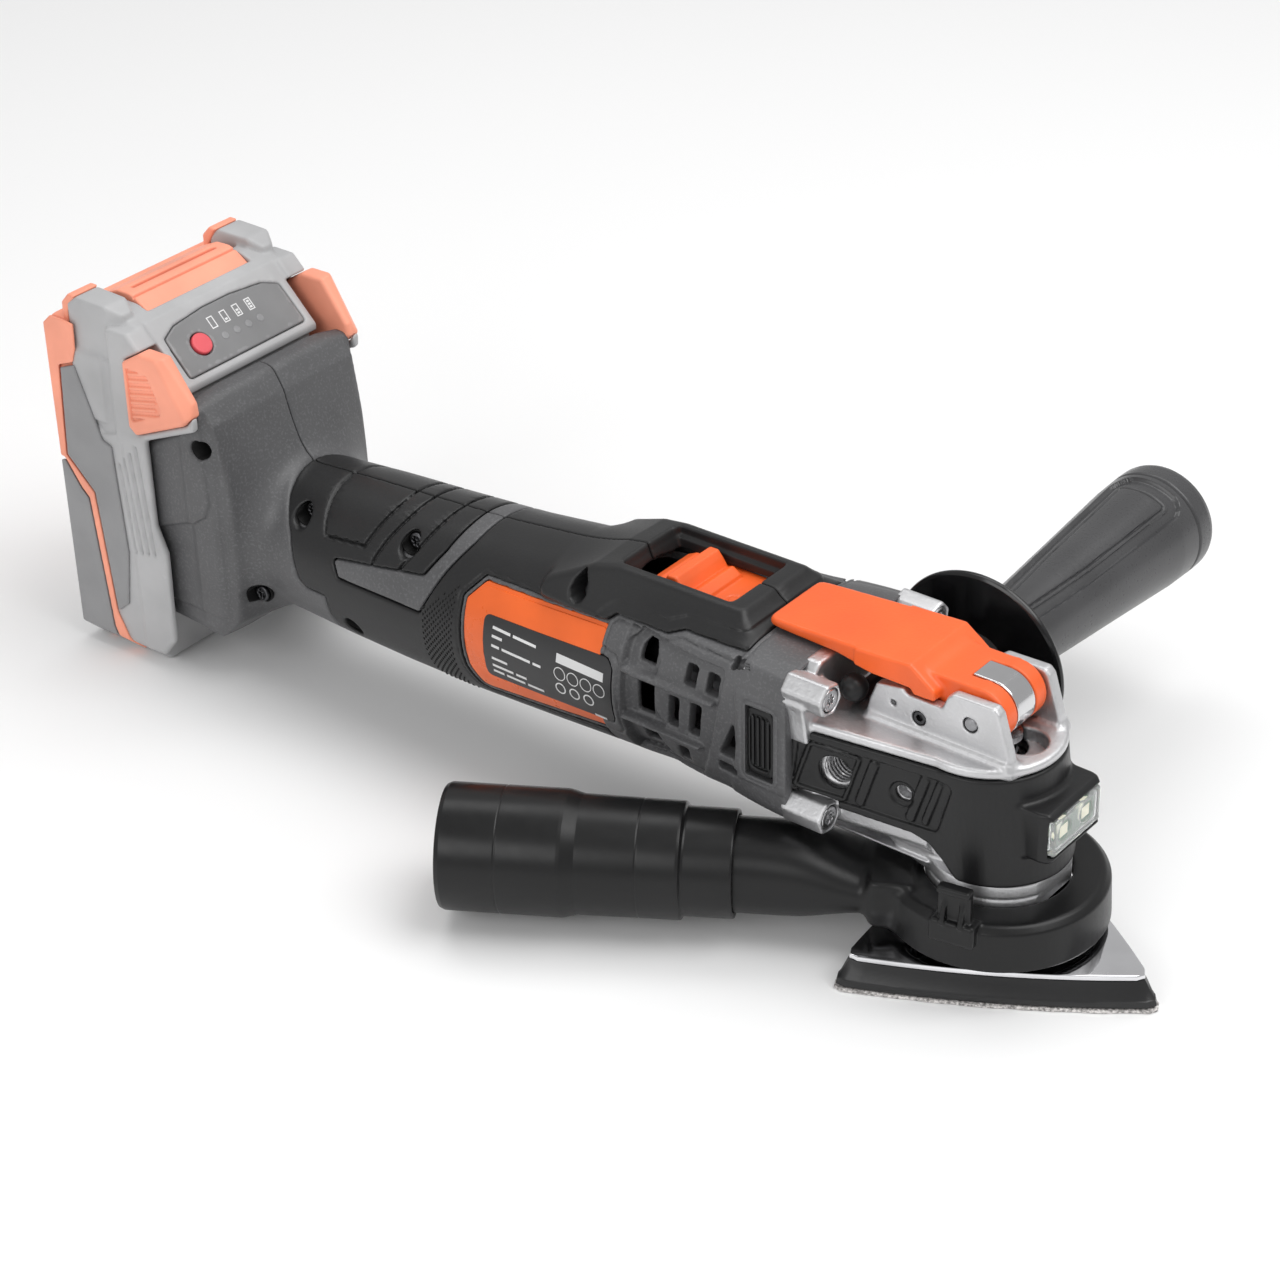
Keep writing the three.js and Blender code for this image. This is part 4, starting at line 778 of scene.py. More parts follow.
def shell_relief(x, z, cover_edge):
    """How far the bare shell's side lies in from the plain tube."""
    field = polygon([(-108.2, 34), (-82, 36), (-77.4, 46), (-74.6, 58), (-71.6, 75), (-72, 76.4),
                     (-108.2, 75.4)])(x, z)
    relief = 1.3 * ramp(field, 1.0)
    for hollow in (
        [(-107.6, 66.2), (-96.6, 65.2), (-95.8, 69.6), (-97.4, 72), (-97.6, 76), (-104.4, 76), (-106, 73.2),
         (-107.6, 72)],
        [(-107.6, 50.2), (-93.4, 50.2), (-96.4, 55), (-96.8, 63.6), (-107.6, 64)],
        [(-107.6, 35), (-93, 37.6), (-95, 42), (-98, 48), (-107.6, 48)],
    ):
        relief += 2.4 * ramp(polygon(hollow)(x, z), 0.8)
    rib_high = polyline([(-107, 64.6), (-96, 64.4), (-75.5, 65)])(x, z) - 0.75
    rib_low = polyline([(-107, 49), (-80.4, 48.8)])(x, z) - 0.75
    for rib in (rib_high, rib_low):
        relief = relief * (1 - ramp(rib, 0.6)) - 0.9 * ramp(rib, 0.6)
    line = (np.abs(cover_edge - 1.6) - 0.35) + 9 * (x < -118) + 9 * (z < 60)
    relief += 0.5 * ramp(line, 0.4)
    frame_line = polyline([(-116, 67.4), (-110.6, 66.8), (-109, 64.6), (-109, 42), (-111, 39.8),
                           (-116, 39.4)])(x, z)
    relief += 0.6 * ramp(frame_line - 0.4, 0.4)
    collar = x + 66.4 + 0.006 * (z - 62) ** 2
    relief -= 0.8 * ramp(-collar, 0.8)
    for high in (73.6, 81.5):
        relief += 0.7 * ramp(-collar, 0.8) * ramp(high - z, 0.9)
    relief += 0.6 * ramp(-collar, 0.8) * ramp(z - 45.4, 0.9)
    pad_line = polygon(soften([(-64.6, 46.4), (-52.4, 46.4), (-52.4, 71.6), (-64.6, 71.6)], 3))(x, z)
    relief += 0.5 * ramp(np.abs(pad_line) - 0.3, 0.4)
    return relief


def cover_relief(x, z, cover_edge):
    """How far the grip cover's side lies in from the plain tube."""
    relief = np.zeros_like(x + z)
    for line in GRIP_GROOVES:
        relief = np.maximum(relief, 1.2 * ramp(polyline(line)(x, z) - 0.45, 0.4))
    skirt = np.maximum(-cover_edge - 3.4, np.maximum(-123 - x, 70 - z))
    relief += 0.9 * ramp(skirt, 0.6)
    window = polygon(LABEL_WINDOW)(x, z)
    relief += 0.35 * ramp(np.abs(window - 1.0) - 0.25, 0.4)
    return relief


def shoe_relief(x, y, z):
    """Steps in the shoe: the raised side panel, and the line under the top edge."""
    panel = polygon(soften(SHOE_PANEL, 2.5))(x, z)
    low_edge = polygon([(-300, 25.4), (-262.6, 25.4), (-262.6, 110), (-300, 110)])(x, z)
    side = (1.1 * ramp(-panel, 0.7) + 0.7 * ramp(-low_edge, 1.0)) * ramp(31 - np.abs(y), 1.0)
    top = 0.6 * ramp(93.6 - z, 0.5) * ramp(-262 - x, 1.0)
    return side + top


def cut_recesses(clay, screws):
    for place, floor, height in screws:
        clay.cut(rod("y", SCREW_R, (-45, -floor), (place, height)), 0.8)


def build_body():
    """Shell and soft grip cover, from one field of the right half."""
    grid = Clay((-293.4, -36.4, 15.6), (-49.6, 1.1, 100.2), FINE)
    x, y, z = grid.axes
    wrap = np.maximum(body_wrap(x, y, z), -271 - x)
    cover_edge = polygon(soften(COVER_SIDE, 0.8, 2))(x, z)
    window = polygon(soften(LABEL_WINDOW, 1.5, 3))(x, z)
    insert = polygon(soften(GRIP_INSERT, 1.2, 3))(x, z)
    half = y + SEAM

    # Bare shell behind and in front of the cover, and thinner where the cover lies on it.
    shoe = round_meet(polygon(soften(SHOE_SIDE, 2))(x, z), np.abs(y) - 34, 2.2)
    shoe = meet(shoe, polygon(soften(SHOE_PLAN, 1.5))(x, y), 2.5)
    outside = join(wrap, shoe, 7) + shoe_relief(x, y, z)
    bare = meet(outside + shell_relief(x, z, cover_edge), 0.25 - cover_edge, 0.9)
    raised = meet(wrap + 0.05, insert + 0.25, 0.9)
    rim = round_meet(np.abs(window + 0.75) - 0.55, np.abs(wrap + 1.3) - 0.9, 0.3)
    shell = np.minimum(np.minimum(bare, wrap + WALL + PLAY), np.minimum(raised, rim + 50 * (x > -116)))
    thickness = np.interp(x, (-120, -110), (2 * WALL + PLAY, 4.7)).astype(np.float32)
    cavity = np.maximum(np.maximum(wrap + thickness, -263 - x), x + 30)
    shell = cut(shell, cavity)
    grid.field = np.maximum(shell, half)
    for outline in vent_slots():
        grid.cut(prism("y", outline, (-45, -15), corner=0.7), 0.5)
    grid.cut(block((-53, -27, 38), (-30, 27, 82), 2))
    grid.cut(block((-300, -27.5, 22), (-275, 27.5, 110)))
    grid.cut(block((-272, -26, 30), (-264.4, 26, 82)))
    grid.cut(rod("x", 17, (-266, -258), (0, 49)))
    grid.cut(block((-276, -16.5, 39.5), (-270, 16.5, 70.5)))
    grid.add(block((-289.4, -28.5, 30), (-286.2, -24.4, 90)))
    grid.cut(block((-122, -13.6, 75.5), (-74.6, 13.6, 98)))
    low, high = box_mm("side_pad_right")
    grid.cut(block(low - 0.5, high + (0.5, 6, 0.5), 0.4))
    seat = Shape(lambda x, y, z: np.maximum(polygon(soften(RATING_PLATE, 2.2, 3))(x, z) - PLAY,
                                            -(body_wrap(x, y, z) + 1.2)) + 0 * y,
                 (-118, -36, 38), (-108, -8, 70))
    grid.cut(seat, 0.4)
    for boss_z in (78.5, 40.6):
        grid.cut(rod("x", 2.3, (-70, -48), (-25.9, boss_z)))

    def screw_recesses(clay):
        cut_recesses(clay, SHOE_SCREWS + GRIP_SCREWS)
    sculpt_pair("housing_shell", grid, LOOK["shell"], BOTH_HALVES, "shell", 0.34, screw_recesses)

    # Soft cover over the grip, with the dome round the switch.
    dome = round_meet(polygon(soften(DOME_SIDE, 3))(x, z), polygon(soften(DOME_FRONT, 3))(y, z), 1.6)
    dome = meet(dome, polygon(soften(DOME_PLAN, 9, 6))(x, y), 2)
    outside = join(wrap + cover_relief(x, z, cover_edge), dome, 4.5)
    cover = meet(outside, cover_edge + 0.02, 0.9)
    cover = cut(cover, wrap + WALL)
    cover = cut(cover, insert - 0.15, 0.7)
    cover = cut(cover, np.maximum(window, y + 12), 0.7)
    grid.field = np.maximum(cover, half)
    grid.cut(prism("y", FUNNEL, (-11.8, 11.8), 1.0), 0.8)
    grid.cut(block((-119, -13, 84.4), (-81, 13, 95), 1.0), 0.8)
    grid.cut(block((-122, -13.6, 70), (-74.6, 13.6, 80.9)))

    def cover_screws(clay):
        cut_recesses(clay, GRIP_SCREWS)
        clay.cut(prism("y", TEARDROP, (-45, -7), corner=0.8), 0.7)
    sculpt_pair("grip_cover", grid, LOOK["overmould"], BOTH_HALVES, "overmould", 0.36, cover_screws)


def build_side_pads():
    """Ribbed pads at the front of the housing, one a side."""
    low, high = box_mm("side_pad_right")
    grid = Clay(low - 1.5, high + 1.5, 0.28)
    grid.add(prism("y", [(low[0], low[2]), (high[0], low[2]), (high[0], high[2]), (low[0], high[2])],
                   (low[1], high[1]), 1.0, 2.4))
    middle = (low[0] + high[0]) / 2
    well = [(middle - 3.4, low[2] + 2.4), (middle + 3.4, low[2] + 2.4), (middle + 3.4, high[2] - 2.4),
            (middle - 3.4, high[2] - 2.4)]
    grid.cut(prism("y", well, (low[1] - 1, low[1] + 0.9), 0.2, 2.2), 0.4)
    for i in range(4):
        place = middle - 2.55 + 1.7 * i
        grid.add(block((place - 0.5, low[1] - 0.1, low[2] + 3), (place + 0.5, low[1] + 1.4, high[2] - 3),
                       0.4), 0.2)
    sculpt_pair("side_pad", grid, LOOK["cover"], BOTH_HALVES, "overmould", 0.5)


PATCH_GRID = (72, 24)


def inset(points, distance):
    """A convex outline, counter-clockwise, moved inwards."""
    moved = []
    for i, here in enumerate(points):
        before, here, after = [np.array(p, float) for p in (points[i - 1], here,
                                                            points[(i + 1) % len(points)])]
        normals = []
        for a, b in ((before, here), (here, after)):
            along = (b - a) / np.linalg.norm(b - a)
            normals.append(np.array([-along[1], along[0]]))
        bisector = normals[0] + normals[1]
        moved.append(tuple(here + bisector * distance * 2 / (bisector @ bisector)))
    return moved


def patch_of(outline):
    """Grid of places filling a convex outline given in x and z."""
    columns, rows = PATCH_GRID
    ring = np.array(outline + outline[:1])
    low, high = ring[:, 0].min() + 0.01, ring[:, 0].max() - 0.01
    places = low + (high - low) * (0.5 - 0.5 * np.cos(np.linspace(0, math.pi, columns)))
    spans = []
    for place in places:
        hits = [az + (bz - az) * (place - ax) / (bx - ax)
                for (ax, az), (bx, bz) in zip(ring[:-1], ring[1:])
                if (ax - place) * (bx - place) <= 0 and ax != bx]
        spans.append((min(hits), max(hits)))
    spans = np.array(spans)
    t = np.linspace(0, 1, rows)
    return np.repeat(places[:, None], rows, 1), spans[:, :1] + (spans[:, 1:] - spans[:, :1]) * t


def side_slabs(patches, side, levels):
    """Closed thin slabs over patches of the body's side, between two depths below its surface."""
    vertices, faces = [], []
    for u, v in patches:
        rows, columns = u.shape
        start = len(vertices)
        for level in levels:
            depth = body_side(u, v, level)
            vertices.extend(np.stack([u, side * depth, v], -1).reshape(-1, 3))
        count = rows * columns
        for i in range(rows - 1):
            for j in range(columns - 1):
                a = start + i * columns + j
                quad = (a, a + 1, a + columns + 1, a + columns)
                faces.append(quad)
                faces.append(tuple(count + k for k in reversed(quad)))
        rim = [(i, 0) for i in range(rows)] + [(rows - 1, j) for j in range(1, columns)]
        rim += [(i, columns - 1) for i in range(rows - 2, -1, -1)]
        rim += [(0, j) for j in range(columns - 2, 0, -1)]
        rim = [start + i * columns + j for i, j in rim]
        for a, b in zip(rim, rim[1:] + rim[:1]):
            faces.append((b, a, a + count, b + count))
    faces = np.array(faces)
    if side < 0:
        faces = faces[:, ::-1]
    return np.array(vertices), faces


def printed_marks():
    """Plain bars, rings and a box in place of the plate's print."""
    bars = []
    for start, pieces in (
        (59.0, (7, 9)), (56.4, (4,)), (53.4, (3, 11, 3)), (49.2, (6,)), (46.7, (8, 4)), (44.6, (4, 7, 6)),
    ):
        place = -156.6
        for length in pieces:
            bars.append((place, place + length, start, start + 0.8))
            place += length + 1.1
    bars.append((-131.6, -114, 57.6, 60.4))
    bars.append((-118.6, -114.4, 43.8, 44.6))
    rings = [(-130.2 + 4.9 * i, 54.2, 1.9, 2.15) for i in range(4)]
    rings += [(-130.2 + 5.2 * i, 49.2, 1.5, 1.9) for i in range(3)]
    patches = []
    for x0, x1, z0, z1 in bars:
        u = np.linspace(x0, x1, max(2, int((x1 - x0) * 1.5)))
        patches.append(np.meshgrid(u, np.linspace(z0, z1, 4), indexing="ij"))
    for cx, cz, inner, outer in rings:
        angle = np.linspace(0, 2 * math.pi, 40)
        radius = np.array([inner, outer])
        patches.append([cx + np.cos(angle)[:, None] * radius, cz + np.sin(angle)[:, None] * radius])
    return patches


def grip_studs():
    """Small raised dashes in staggered rows on the cover, behind and under the label."""
    stud = [(0.5 * math.cos(a), 0.28 * math.sin(a)) for a in np.arange(8) * math.pi / 4]
    vertices, faces = [], []
    for row in range(44):
        height = 66.5 - 1.05 * row
        for column in range(7):
            place = -184.2 + 1.75 * column + 0.87 * (row % 2)
            if height > 56 + 1.6 * column or height < 24:
                continue
            half = float(body_side(np.array(place), np.array(height)))
            if half < 6:
                continue
            normal = np.array([0, half, height - 49.5])
            normal /= np.linalg.norm(normal)
            along = np.array([0, -normal[2], normal[1]])
            base = np.array([place, half, height])
            start = len(vertices)
            for scale, lift in ((1.0, -0.3), (1.0, 0.08), (0.6, 0.26)):
                for u, v in stud:
                    vertices.append(base + normal * lift + scale * (v * np.array([1, 0, 0]) + u * along))
            for ring in (0, 8):
                for i in range(8):
                    j = (i + 1) % 8
                    faces.append([start + ring + i, start + ring + 8 + i, start + ring + 8 + j,
                                  start + ring + j])
            for a, b, c, d in ((0, 1, 2, 3), (0, 3, 4, 7), (4, 5, 6, 7)):
                faces.append([start + 16 + k for k in (d, c, b, a)])
                faces.append([start + k for k in (a, b, c, d)])
    return np.array(vertices), np.array(faces)


def build_body_trim():
    """Label sheet, plate, print and studs on each side."""
    for side, name in ((-1, "right"), (1, "left")):
        sheet, foil = [patch_of(soften(inset([(min(x, gap - 116.2), z) for x, z in LABEL_WINDOW], gap),
                                       1.5, 6))
                       for gap in (1.5, 2.3)]
        plate = patch_of(soften(RATING_PLATE, 2.2, 6))
        for label, patches, levels, look, nodes in (
            ("label_inlay", [sheet], (2.0, 0.75), "orange_label", ["label_inlay_" + name]),
            ("label_face", [foil], (0.9, 0.42), "orange_label", []),
            ("rating_plate", [plate], (0.9, 0.2), "label", ["rating_plate_" + name]),
            ("rating_print", printed_marks(), (0.3, 0.1), "gauge_print", []),
        ):
            piece = make_piece(f"{label}_{name}_piece", *side_slabs(patches, side, levels), LOOK[look])
            piece.data.set_sharp_from_angle(angle=math.radians(40))
            finish_piece(piece, "housing", "orange" if look == "orange_label" else "label", nodes)
        vertices, faces = grip_studs()
        if side < 0:
            vertices, faces = mirrored(vertices, faces)
        finish_piece(make_piece(f"grip_studs_{name}", vertices, faces, LOOK["overmould"]), "housing",
                     "overmould")


def side_reach(skins, x, z):
    """How far out the right side reaches at a place, in millimetres."""
    hits = [skin.ray_cast((x * MM, -60 * MM, z * MM), (0, 1, 0)) for skin in skins]
    return max([-point[1] / MM for hit, point, _, _ in hits if hit], default=0)


def build_screw_wells():
    """Dark sleeve and sunk screw in each recess of the right side, its rim just under the surface. The sleeve
    is the cover's lining of the recess, coloured near-black as painted shade.
    """
    bpy.context.view_layer.update()
    skins = [bpy.data.objects[name] for name in SKIN_NAMES]
    for i, (place, floor, height) in enumerate(SHOE_SCREWS + GRIP_SCREWS):
        if i < len(SHOE_SCREWS):
            mouth = (33.2, 27.2)[i]
        else:
            mouth = float(body_side(np.array(place), np.array(height))) - RIM_DEPTH
        profile = [(0, 0.4 - floor), (3.28, 0.4 - floor), (3.28, -mouth), (2.95, -mouth),
                   (2.95, -floor - 0.2), (0, -floor - 0.2)]
        # The sleeve's near-black finish is painted shade in the recess, over the real lining.
        well = turned_piece(f"screw_well_{i + 1}", profile, LOOK["well"], "y", (place, height), 0.05, 48)
        for vertex in well.data.vertices:
            x, y, z = vertex.co / MM
            if y < -floor - 1:
                rim = side_reach(skins, place + 1.35 * (x - place),
                                 height + 1.35 * (z - height)) - RIM_DEPTH
                vertex.co.y = -max(min(-y, rim), floor + 0.8) * MM
        finish_piece(well, "housing", "black_plastic")
        head = Clay((place - 3, -floor - 3, height - 3), (place + 3, -floor + 0.6, height + 3), 0.2)
        head.add(rod("y", 2.6, (-floor - 2, -floor), (place, height), 0.5))
        for arm in range(3):
            bar = block((place - 1.6, -floor - 3, height - 0.4), (place + 1.6, -floor - 0.8, height + 0.4),
                        0.15)
            head.cut(rotated(bar, "y", 60 * arm, (place, 0, height)), 0.2)
        sculpt(f"body_screw_{i + 1}", head, LOOK["dark_steel"], "housing", "dark_steel", ratio=0.5)


# ------------------------------------------------------------------ gear case and its cover

NOSE_X = -5
NOSE_R = 21.6
REAR_X = -51.5
REAR_HALF = 27.8
LEAN = 4
BAND_LOW = 33.3
RIM_LOW = 66.5
RIM_HIGH = 69.5
LEVER_PIN = (-2, 78.4)
LOBE_CENTRE = (-1.4, 79.2)
LOBE_R = 8.2
BOSSES = [(25.9, 78.5), (25.9, 40.6)]
HEAD_STEP = 0.38


def head_shape(shrink, span, edge=0.0):
    """The head's plan outline raised between two heights, leaning forward towards its lower edge."""
    angles = np.radians(np.linspace(-97, 97, 36))
    radius = NOSE_R - shrink
    points = [(REAR_X, REAR_HALF - shrink), (REAR_X, shrink - REAR_HALF)]
    points += [(NOSE_X + radius * math.cos(a), radius * math.sin(a)) for a in angles]
    field = polygon(points)
    middle, half = (span[0] + span[1]) / 2, (span[1] - span[0]) / 2

    def distance(x, y, z):
        drop = np.clip((RIM_LOW - z) / (RIM_LOW - BAND_LOW), 0, 1)
        forward = np.clip((x + 30) / 30, 0, 1)
        return round_meet(field(x - LEAN * drop * forward, y), np.abs(z - middle) - half, edge)
    return Shape(distance, (REAR_X, -REAR_HALF, span[0]), (NOSE_X + NOSE_R + LEAN, REAR_HALF, span[1]))


EAR = [(-36, 66), (-34, 75), (-32, 80.3), (-23.4, 81.8), (-21.8, 80.4), (-11, 80.3), (-9.4, 84.4),
       (-7.8, 85.6), (5.2, 86), (6.8, 84.4), (10.4, 73), (11.4, 66)]


def build_gear_case():
    """Die-cast case: rim, collar, ears, bosses and the bores for what it holds."""
    grid = Clay((-52.6, -31.6, 23), (18, 31.6, 87.4), HEAD_STEP)
    grid.add(head_shape(3.1, (43, RIM_LOW + 1)))
    grid.add(head_shape(0, (RIM_LOW, RIM_HIGH), 1.2))
    belly = head_shape(5, (35.8, 44), 2)
    grid.add(Shape(lambda x, y, z: np.maximum(belly(x, y, z), x + 12), belly.low, belly.high), 1.5)
    neck = [(-46, 45), (-46, 35.8), (-30, 35.8), (-22, 30.4), (-14, 27.8), (0, 27.8), (0, 45)]
    grid.add(prism("y", neck, (-16, 16), 2.2, 2), 2)
    grid.add(turned("z", [(0, 24), (19.2, 24), (20, 25), (20, 28.2), (19.4, 28.8), (20, 29.4), (20, 33),
                          (16.5, 33.6), (16.5, 44), (0, 44)], corner=0.5), 0.8)
    for height in (22.6, 27.6):
        grid.add(block((-47, -17, height + 8.4), (-12, 17, height + 9.2), 0.3), 0.8)
    wall = [(-24, 68), (-24, 79), (-19, 83.6), (19, 83.6), (24, 79), (24, 68)]
    grid.add(prism("x", wall, (REAR_X, -46.5), 1, 2), 1.5)
    grid.add(both_sides(prism("y", EAR, (-14.2, -10.4), 0.8, 1.2)), 2.4)
    foot = [(-35, 68), (-34, 71), (10, 71), (12, 68)]
    grid.add(both_sides(prism("y", foot, (-15.2, -10.4), 0.7, 0.5)), 1.2)
    hexagon = [(5.2 * math.cos(a), 5.2 * math.sin(a)) for a in np.radians(np.arange(0, 360, 60) + 12)]
    for y, z in BOSSES:
        outline = [(-y - u, z + v) for u, v in hexagon]
        grid.add(both_sides(prism("x", outline[::-1], (REAR_X, -38), 0.8, 1.4)), 1.2)
        inner = (z - 6, z + 1) if z > 56 else (z - 1, z + 6)
        grid.add(both_sides(block((REAR_X, -23.8, inner[0]), (-44, -18, inner[1]), 1)), 1.5)
    flange = [(-27.8, 62), (-29, 70), (-30.4, 76), (-24, 78), (-22, 66)]
    grid.add(both_sides(prism("x", flange, (REAR_X, -44.5), 0.8, 1)), 1.5)
    grid.cut(block((-53, -14, 44), (-4, 14, 64), 1))
    grid.cut(rod("z", 11.4, (33, 65), (0, 0)))
    grid.cut(rod("z", 13.4, (23, 34.4), (0, 0)))
    grid.cut(rod("z", 6.2, (60, 72), (0, 0)), 0.5)
    grid.cut(rod("z", 6.4, (65.5, 72), (6.2, 0)), 0.8)
    grid.cut(block((-45.6, -9.8, 69.2), (-4, 9.8, 84), 1.5), 0.6)
    for y, z in BOSSES:
        grid.cut(both_sides(rod("x", 2.2, (-53, -37), (-y, z))))
        grid.cut(both_sides(rod("x", 3.7, (-40.6, -37), (-y, z))), 0.3)
    grid.cut(rod("y", 4, (-32, 32), (-37.5, 55)), 0.4)
    for turn in range(9):
        groove = turned("y", [(3.8, 0), (4.55, 0.4), (4.55, 0.6), (3.8, 1)], (-37.5, 55))
        shifted = Shape(lambda x, y, z, s=turn: groove(x, np.abs(y) - 24.9 + 1.25 * s, z),
                        (-42.2, -30, 50), (-32.8, 30, 60))
        grid.cut(shifted)
    grid.cut(rod("y", 2.3, (-16, 16), LEVER_PIN), 0.3)
    grid.cut(rod("y", 2.2, (-16, -8), (-18, 74.4)), 0.3)
    grid.cut(rod("y", 0.9, (-16, -12), (-26.2, 76.3)), 0.4)
    grid.cut(rod("y", 2.2, (-26, -17), (-17.5, 54.5)))
    grid.cut(rod("y", math.hypot(0.6, 0.8) + LOBE_R + 0.4, (-10.4, 10.4), LEVER_PIN))
    sculpt("gear_case_piece", grid, LOOK["casting"], "housing", "casting", ["gear_case"], 0.34)


def band_relief(x, z):
    """Frame, bars and steps on the sides of the black band."""
    field = polygon(soften([(-50, 46.8), (-48, 63.8), (-2, 62.6), (-6.6, 46.2)], 2))(x, z)
    relief = 1.0 * ramp(field, 0.5)
    frame_field = np.abs(polygon(soften([(-49.4, 47.8), (-44.6, 62.8), (-29.8, 62.4),
                                         (-34.2, 47.6)], 1))(x, z))
    relief -= 1.0 * ramp(frame_field - 0.6, 0.45)
    for start, half in ((-25.6, 1.35), (-10.6, 1.35), (-6.2, 1.0)):
        bar = polyline([(start - 4.0, 48.4), (start, 61.6)])(x, z) - half
        relief -= 1.0 * ramp(bar, 0.45)
    relief = np.maximum(relief, -0.1)
    relief += 0.8 * ramp(np.hypot(x + 17.5, z - 54.5) - 3.8, 0.5)
    return relief


def build_head_cover():
    """Black band round the case, with the work light and its chips."""
    grid = Clay((-52.4, -29, 32), (26, 29, 67.4), HEAD_STEP)
    x, y, z = grid.axes
    outer = head_shape(0, (BAND_LOW, RIM_LOW - PLAY), 0.9)(x, y, z)
    sides = ramp(20 - np.abs(y), 3.0)
    grid.field = (outer + band_relief(x, z) * sides).astype(np.float32)
    low, high = box_mm("light_lens")
    house = [(9, 44.4), (12, 42.6), (22.6, 42.6), (24.4, 45), (24.4, 56), (22, 58.4), (12, 58.6), (9, 57)]
    plan = [(8, -13.4), (20, -13.4), (24.4, -11.4), (24.4, 11.4), (20, 13.4), (8, 13.4)]
    side, top = prism("y", house, (-13.4, 13.4), 1.4, 0.8), prism("z", plan, (42.6, 58.6), 1.0, 0.8)
    grid.add(Shape(lambda x, y, z: meet(side(x, y, z), top(x, y, z), 0.8), side.low, side.high), 1.6)
    grid.cut(head_shape(2.6, (BAND_LOW - 2, RIM_LOW + 2)))
    cutaway = [(-60, 20), (-60, 44.6), (-46, 44.6), (-14, 43.6), (-9, 42), (0.5, BAND_LOW - 0.5), (0.5, 20)]
    grid.cut(prism("y", cutaway, (-40, 40), 0, 1.5), 0.9)
    grid.cut(block((-60, -24, 30), (-40, 24, 70)))
    grid.cut(block((17, low[1] - 0.4, low[2] - 0.4), (30, high[1] + 0.4, high[2] + 0.4), 0.8), 0.5)
    for y, z in BOSSES:
        grid.cut(both_sides(rod("x", 5.9, (-60, -35.8), (-y, z))), 0.4)
    grid.cut(rod("y", 5, (-40, 40), (-37.5, 55)), 0.6)
    grid.cut(rod("y", 2.3, (-40, -15), (-17.5, 54.5)), 0.6)
    sculpt("head_cover_piece", grid, LOOK["cover"], "housing", "cover", ["head_cover"], 0.4)

    lens = Clay(low - 1, high + 1, 0.3, block(low, high, 0.9))
    lens.cut(block((low[0] - 2, low[1] + 1.2, low[2] + 1.2), (low[0] + 0.8, high[1] - 1.2, high[2] - 1.2),
                   0.5), 0.5)
    for place in (-5.4, 5.4):
        lens.add(ball((high[0] - 3.6, place, 50.6), 3.2), 0.8)
    sculpt("light_lens_piece", lens, LOOK["lens"], "housing", "lens", ["light_lens"], 0.6)
    low, high = box_mm("light_board")
    for i, place in enumerate((-5.4, 5.4)):
        chip = Clay((high[0] - 0.4, place - 3, 47.6), (high[0] + 1.2, place + 3, 53.6), 0.2)
        chip.add(block((high[0] + 0.02, place - 2, 48.8), (high[0] + 0.36, place + 2, 52.4), 0.1))
        chip.add(ball((high[0] - 0.6, place, 50.6), 1.3), 0.2)
        sculpt(f"light_chip_{i + 1}", chip, LOOK["led"], "housing", "lens")


def build_case_hardware():
    """Case screws, set screw, lever pin and rubber stop."""
    for index in range(4):
        low, high = box_mm(f"gear_case_screw_{index + 1}")
        y, z = (low[1] + high[1]) / 2, (low[2] + high[2]) / 2
        face = high[0]
        grid = Clay(low - 1, high + 1, 0.18)
        grid.add(rod("x", 3.3, (face - 2.1, face), (y, z), 0.5))
        grid.add(rod("x", 1.8, (low[0], face - 1), (y, z), 0.2))
        for arm in range(3):
            bar = block((face - 1.3, y - 1.75, z - 0.45), (face + 1, y + 1.75, z + 0.45), 0.2)
            grid.cut(rotated(bar, "x", 60 * arm + 15, (face, y, z)), 0.25)
        grid.cut(rod("x", 0.5, (face - 1.3, face + 1), (y, z)))
        name = f"gear_case_screw_{index + 1}"
        sculpt(name + "_piece", grid, LOOK["steel"], "housing", "steel", [name], 0.5)

    low, high = box_mm("set_screw")
    x, z = (low[0] + high[0]) / 2, (low[2] + high[2]) / 2
    grid = Clay(low - 0.8, high + 0.8, 0.14, rod("y", 1.9, (low[1], high[1]), (x, z), 0.25))
    hexagon = [(x + 1.1 * math.cos(a), z + 1.1 * math.sin(a)) for a in np.radians(np.arange(0, 360, 60))]
    grid.cut(prism("y", hexagon, (low[1] - 1, low[1] + 1.6)), 0.1)
    sculpt("set_screw_piece", grid, LOOK["dark_steel"], "housing", "dark_steel", ["set_screw"], 0.6)

    low, high = box_mm("lever_pin")
    pin = turned_piece("lever_pin_piece", [(0, low[1]), (1.6, low[1]), (2, low[1] + 0.4),
                                           (2, high[1] - 0.4),
                                           (1.6, high[1]), (0, high[1])], LOOK["pin_steel"], "y",
                                           LEVER_PIN, 0.15, 48)
    finish_piece(pin, "housing", "dark_steel", ["lever_pin"])

    grid = Clay((-46, -18, 69), (-34, 18, 81), 0.4, block((-41.5, -12, 69.8), (-38.5, 12, 74.4), 0.8))
    for side in (-1, 1):
        grid.add(ball((-40, side * 12.5, 75.2), 4), 1.0)
    sculpt("lever_bumper_piece", grid, LOOK["overmould"], "housing", "overmould", ["lever_bumper"], 0.5)


# ------------------------------------------------------------------ lever and strap


